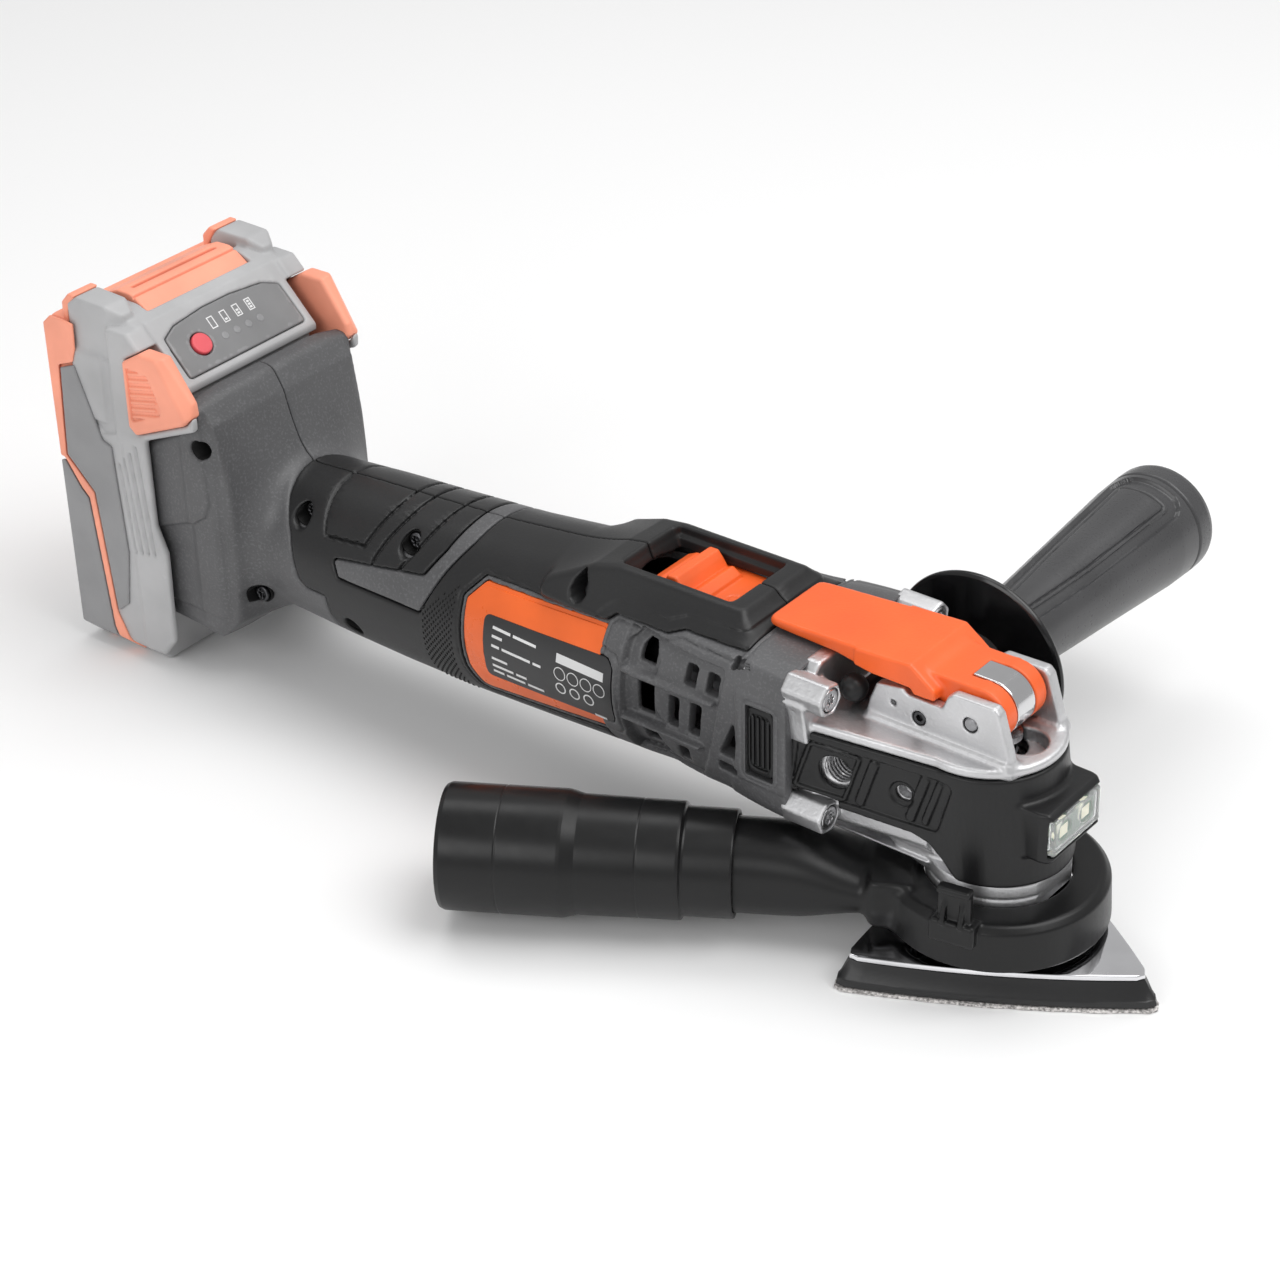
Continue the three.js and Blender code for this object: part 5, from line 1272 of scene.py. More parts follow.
def build_lever():
    """Orange lever on its pin, and the steel strap round its cam."""
    grid = Clay((-71, -16, 69), (8.6, 16, 92), 0.4)
    side = [(-69.5, 84.4), (-69.5, 86.4), (-68.4, 87.1), (-21.5, 89.8), (-13, 83.7), (-13, 81),
            (-20.2, 80.8), (-21.4, 82.4), (-34, 82.4), (-46, 84.2)]
    plan = [(-12.8, -14.6), (-12.8, 14.6), (-21.5, 14), (-62, 12.7), (-69.5, 12.2), (-69.5, -12.2),
            (-62, -12.7), (-21.5, -14)]
    profile, outline = prism("y", side, (-14.6, 14.6), 0.9, 0.9), prism("z", soften(plan, 6), (70, 95))
    x, y, z = grid.axes
    front = [(-12.8, -14.6), (-12.8, 14.6), (-40, 14.6), (-40, -14.6)]
    plan_field = np.minimum(outline(x, y, z), prism("z", soften(front, 1.2), (70, 95))(x, y, z) + 0.4)
    grid.field = meet(profile(x, y, z), plan_field, 1.4).astype(np.float32)
    neck = [(-22, 81.8), (-22, 87), (-13.4, 87.2), (-1.4, 87.35), (-1.4, 74), (-7, 75)]
    grid.add(prism("y", neck, (-9.9, 9.9), 0.7, 0.5), 1.6)
    grid.add(rod("y", LOBE_R, (-9.9, 9.9), LOBE_CENTRE, 0.8), 0.6)
    cx, cz = LOBE_CENTRE
    room = Shape(
        lambda x, y, z: np.maximum(
            np.maximum(np.abs(y) - 4.6, 6.7 - np.hypot(x - cx, z - cz)),
            np.maximum(cx - 6.5 - x, np.where(x < cx, cz - z + 3, -1e3)),
        ), (cx - 8, -4.6, 68), (8, 4.6, 92))
    grid.cut(room, 0.4)
    grid.cut(rod("y", 2.3, (-12, 12), LEVER_PIN))
    sculpt("clamp_lever_piece", grid, LOOK["orange"], "lever_group", "orange", ["clamp_lever"], 0.5)

    strap = Clay((cx - 9, -5.4, cz - 9.4), (cx + 9.4, 5.4, cz + 9.4), 0.25)
    ring = turned("y", [(7, -4.2), (8.2, -4.2), (8.2, 4.2), (7, 4.2)], LOBE_CENTRE, 0.35)
    strap.add(Shape(lambda x, y, z: np.maximum(ring(x, y, z), cx - 1 - x), ring.low, ring.high))
    strap.add(block((cx - 6.4, -4.2, cz + 7), (cx - 0.5, 4.2, cz + 8.2), 0.3))
    strap.cut(block((cx - 2, -1.6, cz - 9), (cx + 2, 1.6, cz - 4), 0.4), 0.4)
    sculpt("cam_strap_piece", strap, LOOK["strap_steel"], "lever_group", "steel", ["cam_strap"], 0.6)


# ------------------------------------------------------------------ dust adapter and hose adapter

DUCT_ANGLE = 210.3
DUCT_Z = 21
CLIP_ANGLE = 10
CLIP_RIB = [(-33.4, 27), (-33.2, 28.4), (-30.6, 36), (-30, 36), (-30, 27)]


def build_dust_adapter():
    """Ring, duct and clip, then the stepped hose adapter in the duct."""
    grid = Clay((-82, -52, 7), (33, 33, 39.5), 0.45)
    wall = [(20.3, 22), (20.3, 27), (28.2, 27), (29.2, 26.7), (30.9, 25), (31.5, 13), (29.3, 13),
            (28.4, 22)]
    grid.add(turned("z", wall, corner=0.6))
    outer = tube_of_stations([(22, 20.2, 15.4, 6.2), (36, 20.8, 14.8, 7.2), (44, 21, 14.4, 9.6),
                              (52, 21, 13.8, 12.4), (64, 21, 13, 13), (84, 21, 13, 13)], 2.3)
    duct = Shape(lambda x, y, z: np.maximum(outer(x, y, z), 28.6 - np.hypot(x, y)), outer.low, outer.high)
    grid.add(rotated(duct, "z", DUCT_ANGLE), 2.2)
    saddle = prism("z", [(22, -15), (34.5, -15.4), (34.5, 15.4), (22, 15)], (13.4, 28.2), 1.4, 2.5)
    grid.add(rotated(saddle, "z", DUCT_ANGLE), 3.0)
    inner = tube_of_stations([(21.6, 19.6, 12.8, 4.4), (36, 20.6, 12.4, 4.8), (50, 21, 11.4, 9.8),
                              (64, 21, 11, 11), (86, 21, 11, 11)])
    bore = Shape(lambda x, y, z: np.maximum(inner(x, y, z), 21.5 - np.hypot(x, y)), inner.low, inner.high)
    grid.cut(rotated(bore, "z", DUCT_ANGLE), 0.4)
    for part, k in (
        (block((-6.6, -32.9, 21), (6.6, -27, 28), 1.0), 0.6),
        (block((-4.8, -31, 25), (4.8, -28.6, 38.4), 0.6), 0.6),
        (block((-4.8, -32.2, 36.4), (4.8, -28.6, 38.4), 0.6), 0.3),
        (prism("x", CLIP_RIB, (-3.3, -1.9), 0.3), 0.3),
        (prism("x", CLIP_RIB, (1.9, 3.3), 0.3), 0.3),
    ):
        grid.add(rotated(part, "z", CLIP_ANGLE), k)
    grid.cut(rod("z", 20.3, (10, 50), (0, 0)), 0.4)
    sculpt("dust_adapter_piece", grid, LOOK["black_plastic"], "housing", "black_plastic", ["dust_adapter"],
           0.6)

    turn = Matrix.Rotation(math.radians(DUCT_ANGLE), 3, "Z")
    profile = [(13.9, 71.8), (15.2, 71.8), (15.4, 72.4), (15.45, 85.4), (15.6, 86), (16.6, 86.6),
               (16.7, 87.4), (16.75, 98), (16.62, 98.4), (16.8, 98.8), (17, 115.4), (17.2, 116.2),
               (18, 119.2), (18.1, 120.2), (18.1, 137), (17.94, 137.4), (18.1, 137.8), (18.1, 152.9),
               (17.5, 154.3), (16.2, 154.4), (15.8, 153.8), (15.8, 118), (14.6, 114), (13.9, 90)]
    hose = turned_piece("hose_adapter_piece", profile, LOOK["hose_rubber"], "x", (0, DUCT_Z), 0.5, 128,
                        turn)
    finish_piece(hose, "housing", "overmould", ["hose_adapter"])
    rib = Clay((99, -18.4, 17), (114, -15, 25), 0.3, block((101, -17.9, 19), (112, -15.8, 23), 0.6))
    vertices, quads = rib.mesh()
    piece = make_piece("hose_adapter_mark", vertices @ np.array(turn).T, quads, LOOK["hose_rubber"])
    finish_piece(piece, "housing", "overmould")


# ------------------------------------------------------------------ side handle

HANDLE_X = -37.5
HANDLE_Z = 55


def handle_relief(y, angle, radius):
    """How far the two framed panels and the end groove are sunk into the grip."""
    relief = 0.8 * ramp(np.abs(y - 140.6) - 0.45, 0.45)
    for panel in (83, 263):
        turn = (angle - math.radians(panel) + math.pi) % (2 * math.pi) - math.pi
        frames = []
        for margin in (0, 3.2, 4.7):
            wide = np.interp(y, (50, 62, 90, 134), (6.6, 8.2, 10.8, 13)) - margin
            frames.append(round_meet(np.abs(turn) * radius - wide,
                                     np.abs(y - 96.5) - (41.5 - 1.3 * margin), 6 - margin))
        relief = relief + 1.3 * ramp(frames[0], 0.45) - 0.7 * ramp(frames[1], 0.45)
        relief = relief + 0.6 * ramp(np.abs(frames[2]) - 0.3, 0.4)
    return relief


def handle_surface():
    """The grip as rings about its axis, with the stud's hole at one end and a dimple at the other."""
    places = (46, 50, 56, 76, 106, 132, 144, 150)
    radii = (13.2, 12.5, 12.2, 13.4, 15.6, 17.6, 17.9, 17.7)
    turns, step, edge, near, far = 300, 0.4, 2.6, 47.3, 149.9
    bend = np.linspace(0, math.pi / 2, 7)
    near_edge = [(np.interp(near, places, radii) - edge * (1 - math.sin(t)),
                  near + edge * (1 - math.cos(t)), 0)
                 for t in bend]
    far_edge = [(np.interp(far, places, radii) - edge * (1 - math.sin(t)), far - edge * (1 - math.cos(t)),
                 0)
                for t in bend[::-1]]
    middle = [(np.interp(y, places, radii), y, 1) for y in np.arange(near + edge + step, far - edge, step)]
    rings = [(4.3, 64, 0), (4.3, near + 0.3, 0), (4.6, near, 0)] + near_edge + middle + far_edge
    rings += [(7.9, far, 0), (7.5, far - 0.3, 0), (7.2, far - 0.9, 0), (6.8, far - 1, 0)]
    radius, y, carved = (np.array(column)[:, None] for column in zip(*rings))
    angle = np.linspace(0, 2 * math.pi, turns, endpoint=False)[None, :]
    reach = radius - carved * handle_relief(y, angle, radius)
    points = np.stack([HANDLE_X + reach * np.cos(angle), y + 0 * reach, HANDLE_Z + reach * np.sin(angle)],
                      -1)
    poles = [(HANDLE_X, rings[0][1], HANDLE_Z), (HANDLE_X, rings[-1][1], HANDLE_Z)]
    count = len(rings)
    i, j = np.meshgrid(np.arange(count - 1), np.arange(turns), indexing="ij")
    a, b, c, d = (p * turns + q % turns for p, q in ((i, j), (i + 1, j), (i + 1, j + 1), (i, j + 1)))
    j = np.arange(turns)
    last = (count - 1) * turns
    near_fan = np.stack([0 * j + count * turns, j, (j + 1) % turns], -1)
    far_fan = np.stack([0 * j + count * turns + 1, last + (j + 1) % turns, last + j], -1)
    sides = [np.stack(corners, -1).reshape(-1, 3) for corners in ((a, b, c), (a, c, d))]
    return np.vstack([points.reshape(-1, 3), poles]), np.vstack(sides + [near_fan, far_fan])


def build_handle():
    """Guard disc, grip and threaded stud of the side handle."""
    centre = (HANDLE_X, HANDLE_Z)
    guard = [(4.3, 28.7), (8.4, 28.7), (9, 29.3), (9, 42.6), (10.4, 44.2), (27.2, 44.7), (28.1, 45.2),
             (28.3, 45.9), (28.1, 46.6), (27.4, 46.9), (13.4, 47.6), (4.3, 47.6)]
    piece = turned_piece("handle_guard", guard, LOOK["guard"], "y", centre, 0.35, 160)
    finish_piece(piece, "housing", "black_plastic")

    vertices, faces = handle_surface()
    grip = make_piece("handle_grip_piece", vertices, faces, LOOK["handle"])
    grip.data.set_sharp_from_angle(angle=math.radians(50))
    finish_piece(grip, "housing", "black_plastic", ["handle_grip"])

    stud_profile = [(0, 17)]
    for thread in range(9):
        start = 17.3 + 1.25 * thread
        stud_profile += [(3.15, start), (3.7, start + 0.5), (3.7, start + 0.7), (3.15, start + 1.2)]
    stud_profile += [(3.5, 28.8), (3.5, 63), (0, 63)]
    stud = turned_piece("handle_stud_piece", stud_profile, LOOK["steel"], "y", centre, 0.0, 48)
    finish_piece(stud, "housing", "steel", ["handle_stud"])


# ------------------------------------------------------------------ sanding pad

PAD_CENTRE = 1.5
PAD_RADIUS = 51.6
PAD_BULGE = 2.8
PAD_TIP = 2.2 / 4
PAD_SIDE_POINTS = 24


def delta_outline(radius):
    """Triangle with bowed sides and small round tips, as an array of points."""
    corners = [(PAD_CENTRE + radius * math.cos(a), radius * math.sin(a)) for a in np.radians((0, 120, 240))]
    points = []
    for (ax, ay), (bx, by) in zip(corners, corners[1:] + corners[:1]):
        side = np.array([bx - ax, by - ay])
        length = np.linalg.norm(side)
        outward = np.array([side[1], -side[0]]) / length
        for t in np.linspace(0, 1, PAD_SIDE_POINTS + 1)[:-1]:
            bow = 4 * PAD_BULGE * t * (1 - t)
            points.append(tuple(np.array([ax, ay]) + side * t + outward * bow))
    outline = np.array(points)
    for i in range(0, len(outline), PAD_SIDE_POINTS):
        near = (outline[i - 1] + outline[i + 1]) / 2
        outline[i] += (near - outline[i]) * PAD_TIP
    return outline


def stacked(name, rings, material):
    """Closed piece from outlines one above the other, each with the same number of points."""
    vertices, faces = [], []
    count = len(rings[0][0])
    for outline, height in rings:
        vertices.extend((*point, height) for point in outline)
    for ring in range(len(rings) - 1):
        for i in range(count):
            j = (i + 1) % count
            a, b = ring * count, (ring + 1) * count
            faces.append((a + i, a + j, b + j, b + i))
    mesh = bpy.data.meshes.new(name)
    top = (len(rings) - 1) * count
    faces.append(tuple(range(count))[::-1])
    faces.append(tuple(top + i for i in range(count)))
    mesh.from_pydata([tuple(c * MM for c in v) for v in vertices], [], faces)
    mesh.validate()
    mesh.polygons.foreach_set("use_smooth", np.ones(len(mesh.polygons), bool))
    mesh.set_sharp_from_angle(angle=math.radians(38))
    mesh.materials.append(material)
    piece = bpy.data.objects.new(name, mesh)
    bpy.context.scene.collection.objects.link(piece)
    return piece


def build_pad():
    """Abrasive sheet, foam and steel plate, one above the other."""
    sheet_low, sheet_high = box_mm("sanding_sheet")
    plate_low, plate_high = box_mm("pad_plate")
    foam_low, foam_high = box_mm("pad_foam")
    rng = np.random.default_rng(4)
    ragged = delta_outline(PAD_RADIUS + 0.5)
    ragged = ragged + rng.normal(0, 0.12, ragged.shape)
    sheet = stacked("sanding_sheet_piece", [(ragged, sheet_low[2]), (ragged * 1.002, sheet_high[2])],
                    LOOK["abrasive"])
    finish_piece(sheet, "spindle_group", "abrasive", ["sanding_sheet"])
    low, high = foam_low[2], foam_high[2]
    rings = [(PAD_RADIUS - 0.5, low), (PAD_RADIUS, low + 0.5), (PAD_RADIUS - 0.5, low + 2.2),
             (PAD_RADIUS - 1.1, low + 2.5), (PAD_RADIUS - 3.8, high - 0.6), (PAD_RADIUS - 4.3, high)]
    foam = stacked("pad_foam_piece", [(delta_outline(r), z) for r, z in rings], LOOK["foam"])
    finish_piece(foam, "spindle_group", "foam", ["pad_foam"])
    low, high = plate_low[2], plate_high[2]
    rings = [(PAD_RADIUS - 4.3, low), (PAD_RADIUS - 4.2, low + 0.3), (PAD_RADIUS - 4.2, high - 0.45),
             (PAD_RADIUS - 4.5, high - 0.1), (PAD_RADIUS - 5.1, high)]
    plate = stacked("pad_plate_piece", [(delta_outline(r), z) for r, z in rings], LOOK["chrome"])
    finish_piece(plate, "spindle_group", "chrome", ["pad_plate"])


# ------------------------------------------------------------------ battery

PACK_FRONT = -292.4
PACK_HALF = 37
PACK_TOP = 112


def pack_section(half, low, high, bevel):
    """The battery seen from behind, run along the tool."""
    points = [(-half + bevel, low), (half - bevel, low), (half, low + bevel), (half, high - bevel),
              (half - bevel, high), (-half + bevel, high), (-half, high - bevel), (-half, low + bevel)]
    return prism("x", points, (-331, -262), 1.0, 1.5)


BUTTON_SIDE = [(-292.4, 87.4), (-289.4, 85), (-268, 94.6), (-265.4, 97.4), (-265.8, 101.4), (-275.4, 114.6),
               (-284, 114.4), (-292.2, 109.4)]
CHEEK_SIDE = [(-300, 79), (-289.4, 82.2), (-265.2, 92.8), (-264, 96), (-266, 99.6), (-274, 102),
              (-290.6, 118.4), (-300, 118.4)]
LIP_SIDE = [(-298, 5), (-289.6, 5.6), (-284.6, 12), (-283.8, 44), (-287.4, 53), (-287.4, 84), (-298, 84)]
BAND_STRIPE = [(-327.2, 112.8), (-327.2, 66.3), (-325.2, 66), (-319, 57.3), (-316, 54.6), (-311.6, 9),
               (-308, 1), (-302.5, 1), (-309.4, 14.6), (-313.4, 57.1), (-324.4, 67.4), (-322.4, 99.3),
               (-315.7, 102), (-313.9, 107), (-313.5, 115.8), (-318, 116.2), (-323.8, 116)]
REAR_SIDE = [(-325.4, 65.4), (-319.4, 56.9), (-316.4, 54.2), (-312, 8.8), (-309, 1), (-325, 1), (-327.2, 4),
             (-327.2, 65)]
SIDE_INLAY = [(-321.9, 98.8), (-323.9, 67.7), (-313, 57.5), (-309, 15.2), (-303.6, 19.6), (-300.6, 39.4),
              (-302.4, 71.3), (-302.6, 76.8), (-306.4, 78), (-315.5, 101.4)]
GAUGE_CENTRE = (-283.1, 0, 110)
SLOPE = math.sqrt(0.5)
GAUGE_PLATE = [(-25, -9.6), (25, -9.6), (24.6, 4.6), (19, 7.2), (6, 8.5), (-6, 8.5), (-19, 7.2),
               (-24.6, 4.6)]


def on_slope(distance, low, high):
    """A shape given across the tool, up the slope and out of it, laid on the battery's sloping face."""
    cx, _, cz = GAUGE_CENTRE

    def field(x, y, z):
        up = SLOPE * ((z - cz) - (x - cx))
        out = SLOPE * ((z - cz) + (x - cx))
        return distance(y, up, out)
    return Shape(field, low, high)


def gauge_field(margin, low, high):
    outline = polygon(soften(GAUGE_PLATE, 1.0))
    middle, half = (low + high) / 2, (high - low) / 2
    return on_slope(lambda u, v, w: round_meet(outline(u, v) - margin, np.abs(w - middle) - half, 0.2),
                    (-300, -32, 98), (-268, 32, 124))


def gauge_bar(radius, low, high, edge=0.3):
    middle, half = (low + high) / 2, (high - low) / 2
    return on_slope(lambda u, v, w: round_meet(np.hypot(u + 14, v + 1.5) - radius,
                                               np.abs(w - middle) - half, edge),
                    (-300, -22, 98), (-268, -6, 124))


def build_battery():
    """Front case, band, rear case, bumper, side strips, horn caps and gauge."""
    grid = Clay((-318.6, -38.2, -1.4), (-264.8, 38.2, 126), 0.6)
    x, y, z = grid.axes
    body = block((-317, -PACK_HALF, 0), (PACK_FRONT, PACK_HALF, PACK_TOP), 1.2)
    corner_cut = prism("z", [(-320, -37), (-296, -37), (PACK_FRONT, -34.8), (PACK_FRONT, 34.8), (-296, 37),
                             (-320, 37)], (-5, 130), 0, 1.0)
    section = pack_section(PACK_HALF, 0, PACK_TOP, 6)
    field = meet(body(x, y, z), section(x, y, z), 1.2)
    field = meet(field, np.minimum(corner_cut(x, y, z), 80 - z), 1.2)
    grid.field = field.astype(np.float32)
    lip = both_sides(prism("y", LIP_SIDE, (-37, -34.4), 1.0, 2))
    grid.add(lip, 1.0)
    ribs = np.zeros_like(x + z)
    for i in range(4):
        line = polyline([(-297.6 + 2.9 * i, 41 + 0.6 * i), (-301 + 3.0 * i, 70.5 + 3 * i)])(x, z) - 0.65
        ribs = np.maximum(ribs, 0.9 * ramp(line, 0.7))
    facet = polygon([(-312, 84), (-303.6, 84), (-303.6, 108), (-300, 116), (-296, 116), (-300, 100),
                     (-300, 82), (-306, 80)])(x, z)
    ribs = (ribs + 0.8 * ramp(facet, 1.0)) * ramp(31 - np.abs(y), 1.0)
    grid.field = (grid.field + ribs).astype(np.float32)
    head = [(-305, 99), (-274.6, 99), (-274.6, 101.5), (-291.5, 118.4), (-300, 121), (-305, 121)]
    grid.add(prism("y", head, (-31.6, 31.6), 1.2, 0.8), 1.5)
    cheek = prism("y", CHEEK_SIDE, (-36.8, 36.8), 1.2, 1.6)
    limits = [block((-300, -38, 70), (-260, -34.4, 125)), block((-300, -38, 99.2), (-260, -29, 125)),
              block((-300, -38, 92.2), (-272, -29, 125))]
    grid.add(both_sides(Shape(
        lambda x, y, z: meet(cheek(x, y, z), join(join(limits[0](x, y, z), limits[1](x, y, z)),
                                                  limits[2](x, y, z)), 0.8),
        cheek.low, (-262, -28, 126))), 1.2)
    horn_side = [(-317, 106), (-317, 121.4), (-312.6, 124.4), (-300.6, 124.4), (-295.4, 121.6),
                 (-294.8, 115.4), (-299, 107)]
    horn_plan = [(-318, -36), (-300, -35.4), (-294.6, -32), (-294.4, -28.6), (-300, -26), (-318, -25.4)]
    horn, plan = prism("y", horn_side, (-36, -24.5), 1.2, 1.2), prism("z", horn_plan, (100, 130), 0, 1.2)
    grid.add(both_sides(Shape(lambda x, y, z: meet(horn(x, y, z), plan(x, y, z), 1.2), horn.low,
                              horn.high)), 0.8)
    grid.add(block((-294, -27.1, 24), (-276.6, 27.1, 100), 0.6))
    grid.cut(both_sides(block((-289.8, -30, 20), (-285.8, -24, 98.6), 0.3)))
    for place in (-10, 0, 10):
        grid.cut(block((-285, place - 1, 20), (-276, place + 1, 62), 0.2))
    grid.cut(block((-318, -34, 4), (-294.6, 34, 106)))
    grid.cut(block((-319, -22.3, PACK_TOP - 2), (-295.7, 22.3, 127), 0.4), 0.5)
    seat = polygon(BUTTON_SIDE)
    grid.cut(both_sides(Shape(lambda x, y, z: np.maximum(seat(x, z) - PLAY, y + 28.2),
                              (-294, -40, 83), (-263, -28, 117))), 0.4)
    grid.cut(gauge_field(PLAY, -1.6, 5), 0.4)
    grid.cut(gauge_bar(3.9, -5, 5))
    sculpt("battery_case_front_piece", grid, LOOK["pack_grey"], "battery", "pack_grey",
           ["battery_case_front"], 0.45)

    band_side = [(-317.3, 0), (-317.3, 116), (-324, 116), (-327, 113), (-327, 66), (-320.6, 60),
                 (-320.6, 0)]
    for name, outline, half, look in (
        ("battery_band", band_side, 36, "pack_orange"),
        ("battery_case_rear", [(-320.9, 0), (-320.9, 59.6), (-327, 65.5), (-327, 4),
                               (-325, 0)], 36.6, "pack_dark"),
    ):
        low, high = box_mm(name)
        shape, section = prism("y", outline, (-half, half), 0.9, 0.8), pack_section(half, 0, 120, 5)
        piece = Clay(low - 1.5, high + 1.5, 0.55, shape)
        piece.keep(section, 0.8)
        if name == "battery_case_rear":
            for place in range(5):
                slot = block((-328, -24 + 12 * place - 3.4, 8), (-326.2, -24 + 12 * place + 3.4, 52), 0.4)
                piece.cut(slot, 0.5)
        else:
            piece.cut(block((-329, -20, 78), (-326.3, 20, 104), 0.5), 0.6)
        sculpt(name + "_piece", piece, LOOK[look], "battery", look, [name], 0.45)

    low, high = box_mm("battery_bumper")
    bumper_side = [(-317, 110.6), (-296, 110.6), (-296, 118.6), (-301.6, 122.2), (-304, 122.9),
                   (-309, 122.7), (-316, 119.6)]
    bumper = Clay(low - 1.5, high + (7, 1.5, 1.5), 0.4, prism("y", bumper_side, (-22, 22), 0.7, 0.6))
    bumper.cut(block((-307.2, -18, 119.4), (-305.6, 18, 126), 0.3), 0.5)
    bumper.cut(block((-302.2, -24, 121.2), (-301.4, 24, 126), 0.2), 0.3)
    sculpt("battery_bumper_piece", bumper, LOOK["pack_orange"], "battery", "pack_orange",
           ["battery_bumper"], 0.45)
    section = pack_section(PACK_HALF, 0, 130, 6)
    for name, outline, look, deep in (("battery_stripe", BAND_STRIPE, "pack_orange", 0.5),
                                      ("battery_rear_side", REAR_SIDE, "pack_dark", 0.5),
                                      ("battery_inlay", SIDE_INLAY, "pack_dark", 0.55)):
        edge_line = polygon(soften(outline, 0.8))
        strip = Clay((-330, -38.4, -1), (-298, -29, 119), 0.4)
        x, y, z = strip.axes
        strip.field = round_meet(edge_line(x, z) + 0.15, np.abs(section(x, y, z) + 0.1) - deep,
                                 0.25).astype(np.float32)
        for side, hand in ((-1, "right"), (1, "left")):
            mesh = strip.mesh() if side < 0 else mirrored(*strip.mesh())
            piece = make_piece(f"{name}_{hand}", *mesh, LOOK[look])
            thin_out(piece, 0.5)
            finish_piece(piece, "battery", look)
    for side, name in ((-1, "right"), (1, "left")):
        cap_side = [(-319.6, 112), (-319.6, 121), (-316.4, 124.4), (-313.4, 124.5), (-317.2, 118),
                    (-317.3, 112)]
        cap = Clay((-321, 22, 110), (-312, 38, 126), 0.4, prism("y", cap_side, (25, 35.4), 0.7, 0.6))
        mesh = cap.mesh() if side > 0 else mirrored(*cap.mesh())
        piece = make_piece(f"battery_horn_cap_{name}", *mesh, LOOK["pack_orange"])
        finish_piece(piece, "battery", "pack_orange")

    panel = Clay((-299, -31, 99), (-269, 31, 123), 0.35, gauge_field(0, -1.2, 0))
    panel.cut(gauge_bar(3.9, -5, 5), 0.3)
    sculpt("fuel_gauge_panel_piece", panel, LOOK["gauge"], "battery", "gauge", ["fuel_gauge_panel"], 0.4)
    button = Clay((-293, -20, 101), (-277, -8, 117), 0.2, gauge_bar(3.5, -3.4, 0.7, 0.5))
    sculpt("gauge_button_piece", button, LOOK["gauge_red"], "gauge_press", "gauge_red", ["gauge_button"],
           0.5)
    build_gauge_print()
    build_release_buttons()


def build_gauge_print():
    """Four outlined charge bars with dots below them, as thin raised print."""
    vertices, faces = [], []
    cx, cy, cz = GAUGE_CENTRE

    def slab(u0, u1, v0, v1):
        start = len(vertices)
        for out in (-0.05, 0.06):
            for u, v in ((u0, v0), (u1, v0), (u1, v1), (u0, v1)):
                vertices.append((cx + SLOPE * (out - v), cy + u, cz + SLOPE * (out + v)))
        for quad in ((0, 3, 2, 1), (4, 5, 6, 7), (0, 1, 5, 4), (1, 2, 6, 5), (2, 3, 7, 6), (3, 0, 4, 7)):
            faces.append([start + k for k in quad])
    for i in range(4):
        u = -7.2 + 5.4 * i
        for u0, u1, v0, v1 in ((u, u + 2.4, 0.9, 1.25), (u, u + 2.4, 4.65, 5), (u, u + 0.35, 1.25, 4.65),
                               (u + 2.05, u + 2.4, 1.25, 4.65)):
            slab(u0, u1, v0, v1)
        for level in range(i):
            slab(u + 0.7, u + 1.7, 1.6 + 1.0 * level, 2.3 + 1.0 * level)
    quads = np.array(faces)[:, ::-1]
    finish_piece(make_piece("gauge_print", vertices, quads, LOOK["gauge_print"], False), "battery", "gauge")
    for i in range(4):
        u, v = -4.6 + 5.1 * i, -2.5
        dot = on_slope(lambda a, b, w, u=u, v=v: round_meet(np.hypot(a - u, b - v) - 1.3, np.abs(w) - 0.12,
                                                            0.1),
                       (-300, -32, 98), (-268, 32, 124))
        x, z = cx - SLOPE * v, cz + SLOPE * v
        grid = Clay((x - 2.2, u - 2, z - 2.2), (x + 2.2, u + 2, z + 2.2), 0.15, dot)
        sculpt(f"gauge_lamp_{i + 1}", grid, LOOK["pack_dark"], "battery", "gauge", ratio=0.5)


def build_release_buttons():
    """Ribbed latch buttons, each riding its own joint."""
    grid = Clay((-293.4, -39.4, 83.6), (-263.6, -31, 116), 0.35)
    button = prism("y", BUTTON_SIDE, (-38.4, -32.4), 1.3, 1.0)
    grid.add(button)
    field = prism("y", [(-290.4, 89.6), (-277.4, 95.6), (-276.8, 98.4), (-281.6, 108), (-290.4, 108)],
                  (-41, -37.6), 0.3, 0.8)
    grid.cut(field, 0.4)
    for i in range(7):
        rib = block((-290, -38.3, -0.5), (-279.4 + 0.2 * i - (i > 3) * (i - 3) * 1.1, -37.2, 0.5), 0.3)
        raised = Shape(lambda x, y, z, rib=rib, i=i: rib(x, y, z - 91.6 - 2.4 * i - (x + 290) * 0.25),
                       (-290.5, -39, 90 + 2.4 * i), (-277, -37, 97 + 2.4 * i))
        grid.add(raised, 0.3)
    slope = np.array([0.72, -0.64])
    grid.cut(Shape(
        lambda x, y, z: -((x + 271.6) * slope[0] * 0.83 + (z - 105) * 0.36 + (y + 38.4) * slope[1]),
        (-285, -41, 80), (-260, -30, 118)), 0.6)
    sculpt_pair("release_button", grid, LOOK["pack_orange"], ("release_right", "release_left"),
                "pack_orange", 0.5)


# ------------------------------------------------------------------ switch


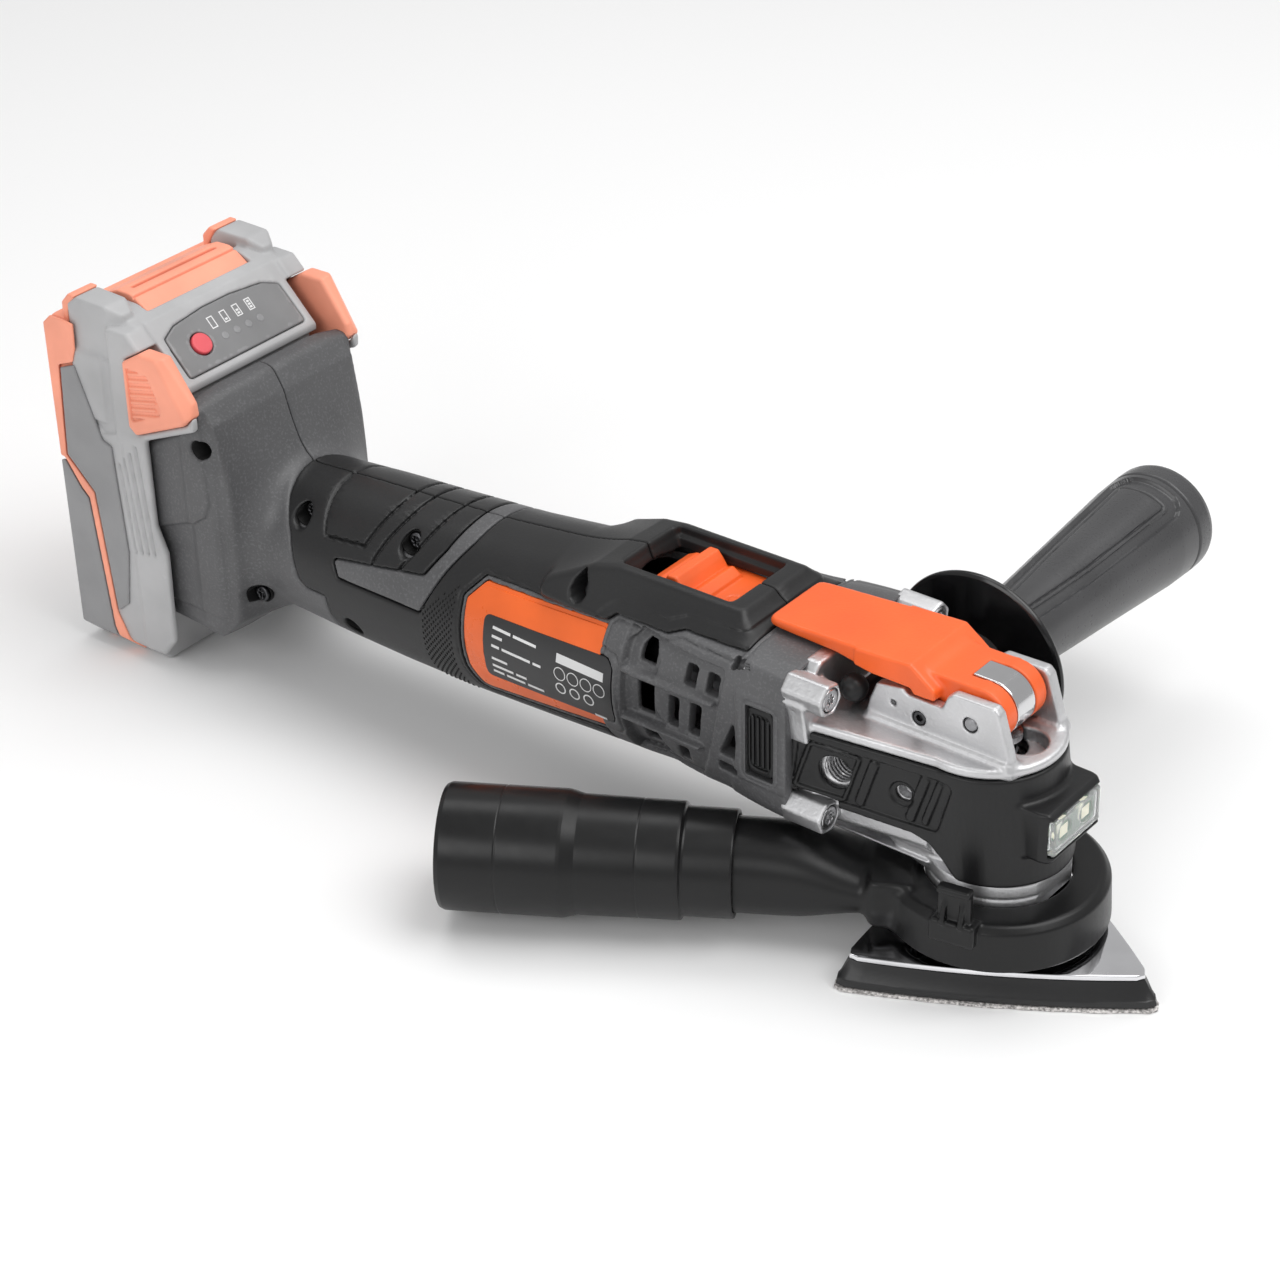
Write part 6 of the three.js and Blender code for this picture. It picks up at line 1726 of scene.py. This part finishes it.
def build_switch():
    """Slider with its hump, fin and step."""
    low, high = box_mm("switch_slider")
    grid = Clay((low[0] - 1, low[1] - 1, low[2] - 1), (high[0] + 1, high[1] + 1, high[2] + 4), 0.32)
    grid.add(block(low, (high[0], high[1], low[2] + 2.4), 0.4))
    hump = [(-114, 79), (-112.6, 82), (-109.4, 83.6), (-107.4, 83.6), (-106.6, 82), (-98, 80.8), (-97, 79)]
    grid.add(prism("y", hump, (-9.2, 9.2), 0.7, 0.7), 0.6)
    fin = [(-106.4, 80), (-107, 83.6), (-105.6, 86.4), (-102.6, 86.5), (-101, 84.6), (-99.6, 82.6),
           (-98, 80)]
    grid.add(prism("y", fin, (-10.2, 10.2), 0.8, 0.8), 0.8)
    step = [(-99, 79), (-99, 82.4), (-96.8, 83.4), (-94, 81.6), (-92.8, 79)]
    grid.add(prism("y", step, (-9.4, 9.4), 0.7, 0.5), 0.5)
    grid.cut(turned("z", [(1.7, 80.3), (2.2, 80.3), (2.2, 82), (1.7, 82)], (-88.4, -2)), 0.2)
    sculpt("switch_slider_piece", grid, LOOK["orange"], "switch_group", "orange", ["switch_slider"], 0.5)


# ------------------------------------------------------------------ parts that keep their CAD shape

KEPT = {
    "spindle": "steel", "rocker_fork": "dark_steel", "spindle_bearing_lower": "steel",
    "spindle_bearing_upper": "steel", "clamp_bolt": "steel", "clamp_spring": "dark_steel",
    "motor_can": "dark_steel", "motor_magnet_ring": "dark_steel", "motor_end_bell": "black_plastic",
    "motor_shaft": "steel", "armature": "copper", "commutator": "brass", "front_bearing": "steel",
    "eccentric_bearing": "steel", "cooling_fan": "black_plastic", "counterweight": "brass",
    "switch_link": "black_plastic", "switch_module": "black_plastic", "control_board": "board",
    "terminal_block": "brass", "light_board": "board", "battery_cells": "cell",
}


def dress_kept_nodes():
    """Materials and smooth shading on the CAD nodes that stay visible."""
    for name, look in KEPT.items():
        node = frame["nodes"][name]
        node.data.materials.clear()
        node.data.materials.append(LOOK[look])
        node.data.polygons.foreach_set("use_smooth", np.ones(len(node.data.polygons), bool))
        node.data.set_sharp_from_angle(angle=math.radians(32))


# ------------------------------------------------------------------ stage


FLOOR_HALF = 6.0
FLOOR_LEVEL = -0.0002
WORLD_LIGHT = 0.54
SENSOR_MM = 36
PHOTO_SIDE = 1280
FOCAL_PIXELS = 3118.5
CAMERA_DISTANCE = 0.8889


def build_stage():
    """Pale floor, even white surroundings and three soft lights."""
    floor = bpy.data.meshes.new("floor")
    corners = ((-1, -1), (1, -1), (1, 1), (-1, 1))
    floor.from_pydata([(FLOOR_HALF * a, FLOOR_HALF * b, FLOOR_LEVEL) for a, b in corners], [],
                      [(0, 1, 2, 3)])
    plane = bpy.data.objects.new("floor", floor)
    bpy.context.scene.collection.objects.link(plane)
    n = Nodes("pale_floor")
    n.link(n.mix(n.noise(0.3), (0.89, 0.89, 0.89), (0.91, 0.91, 0.91)), n.shader.inputs["Base Color"])
    n.set(Roughness=0.7)
    floor.materials.append(n.material)

    world = bpy.data.worlds.new("studio")
    world.use_nodes = True
    background = world.node_tree.nodes["Background"]
    background.inputs["Color"].default_value = (1, 1, 1, 1)
    background.inputs["Strength"].default_value = WORLD_LIGHT
    bpy.context.scene.world = world

    target = Vector((-0.12, 0, 0.05))
    for name, place, size, power in (
        ("key_softbox", (0.5, 0.2, 1.2), (0.9, 0.9), 9.5),
        ("fill_softbox", (-0.1, -1.3, 0.8), (1.2, 0.6), 6),
        ("top_strip", (-0.4, 0.4, 1.2), (1.4, 0.4), 4),
    ):
        light = bpy.data.lights.new(name, "AREA")
        light.shape = "RECTANGLE"
        light.size, light.size_y = size
        light.energy = power
        lamp = bpy.data.objects.new(name, light)
        lamp.location = place
        lamp.rotation_euler = (target - Vector(place)).to_track_quat("-Z", "Y").to_euler()
        bpy.context.scene.collection.objects.link(lamp)


def place_camera():
    """Camera at the photo's angle, distance and focal length."""
    azimuth, elevation, roll = math.radians(39.16), math.radians(31.65), math.radians(-1.55)
    target = Vector((-0.11524, -0.01094, 0.0619))
    back = Vector((math.sin(azimuth) * math.cos(elevation), -math.cos(azimuth) * math.cos(elevation),
                   math.sin(elevation)))
    right = (-back).cross(Vector((0, 0, 1))).normalized()
    up = right.cross(-back)
    turned_right = right * math.cos(roll) + up * math.sin(roll)
    turned_up = up * math.cos(roll) - right * math.sin(roll)
    camera = bpy.data.cameras.new("camera")
    camera.sensor_width = SENSOR_MM
    camera.lens = SENSOR_MM * FOCAL_PIXELS / PHOTO_SIDE
    camera.clip_start = 0.01
    eye = bpy.data.objects.new("camera", camera)
    pose = Matrix((turned_right, turned_up, back)).transposed().to_4x4()
    pose.translation = target + back * CAMERA_DISTANCE
    eye.matrix_world = pose
    bpy.context.scene.collection.objects.link(eye)
    bpy.context.scene.camera = eye


bpy.context.scene.view_settings.view_transform = "Standard"
place_camera()
build_stage()
build_body()
build_side_pads()
build_body_trim()
build_screw_wells()
build_gear_case()
build_head_cover()
build_case_hardware()
build_lever()
build_dust_adapter()
build_handle()
build_pad()
build_battery()
build_switch()
dress_kept_nodes()
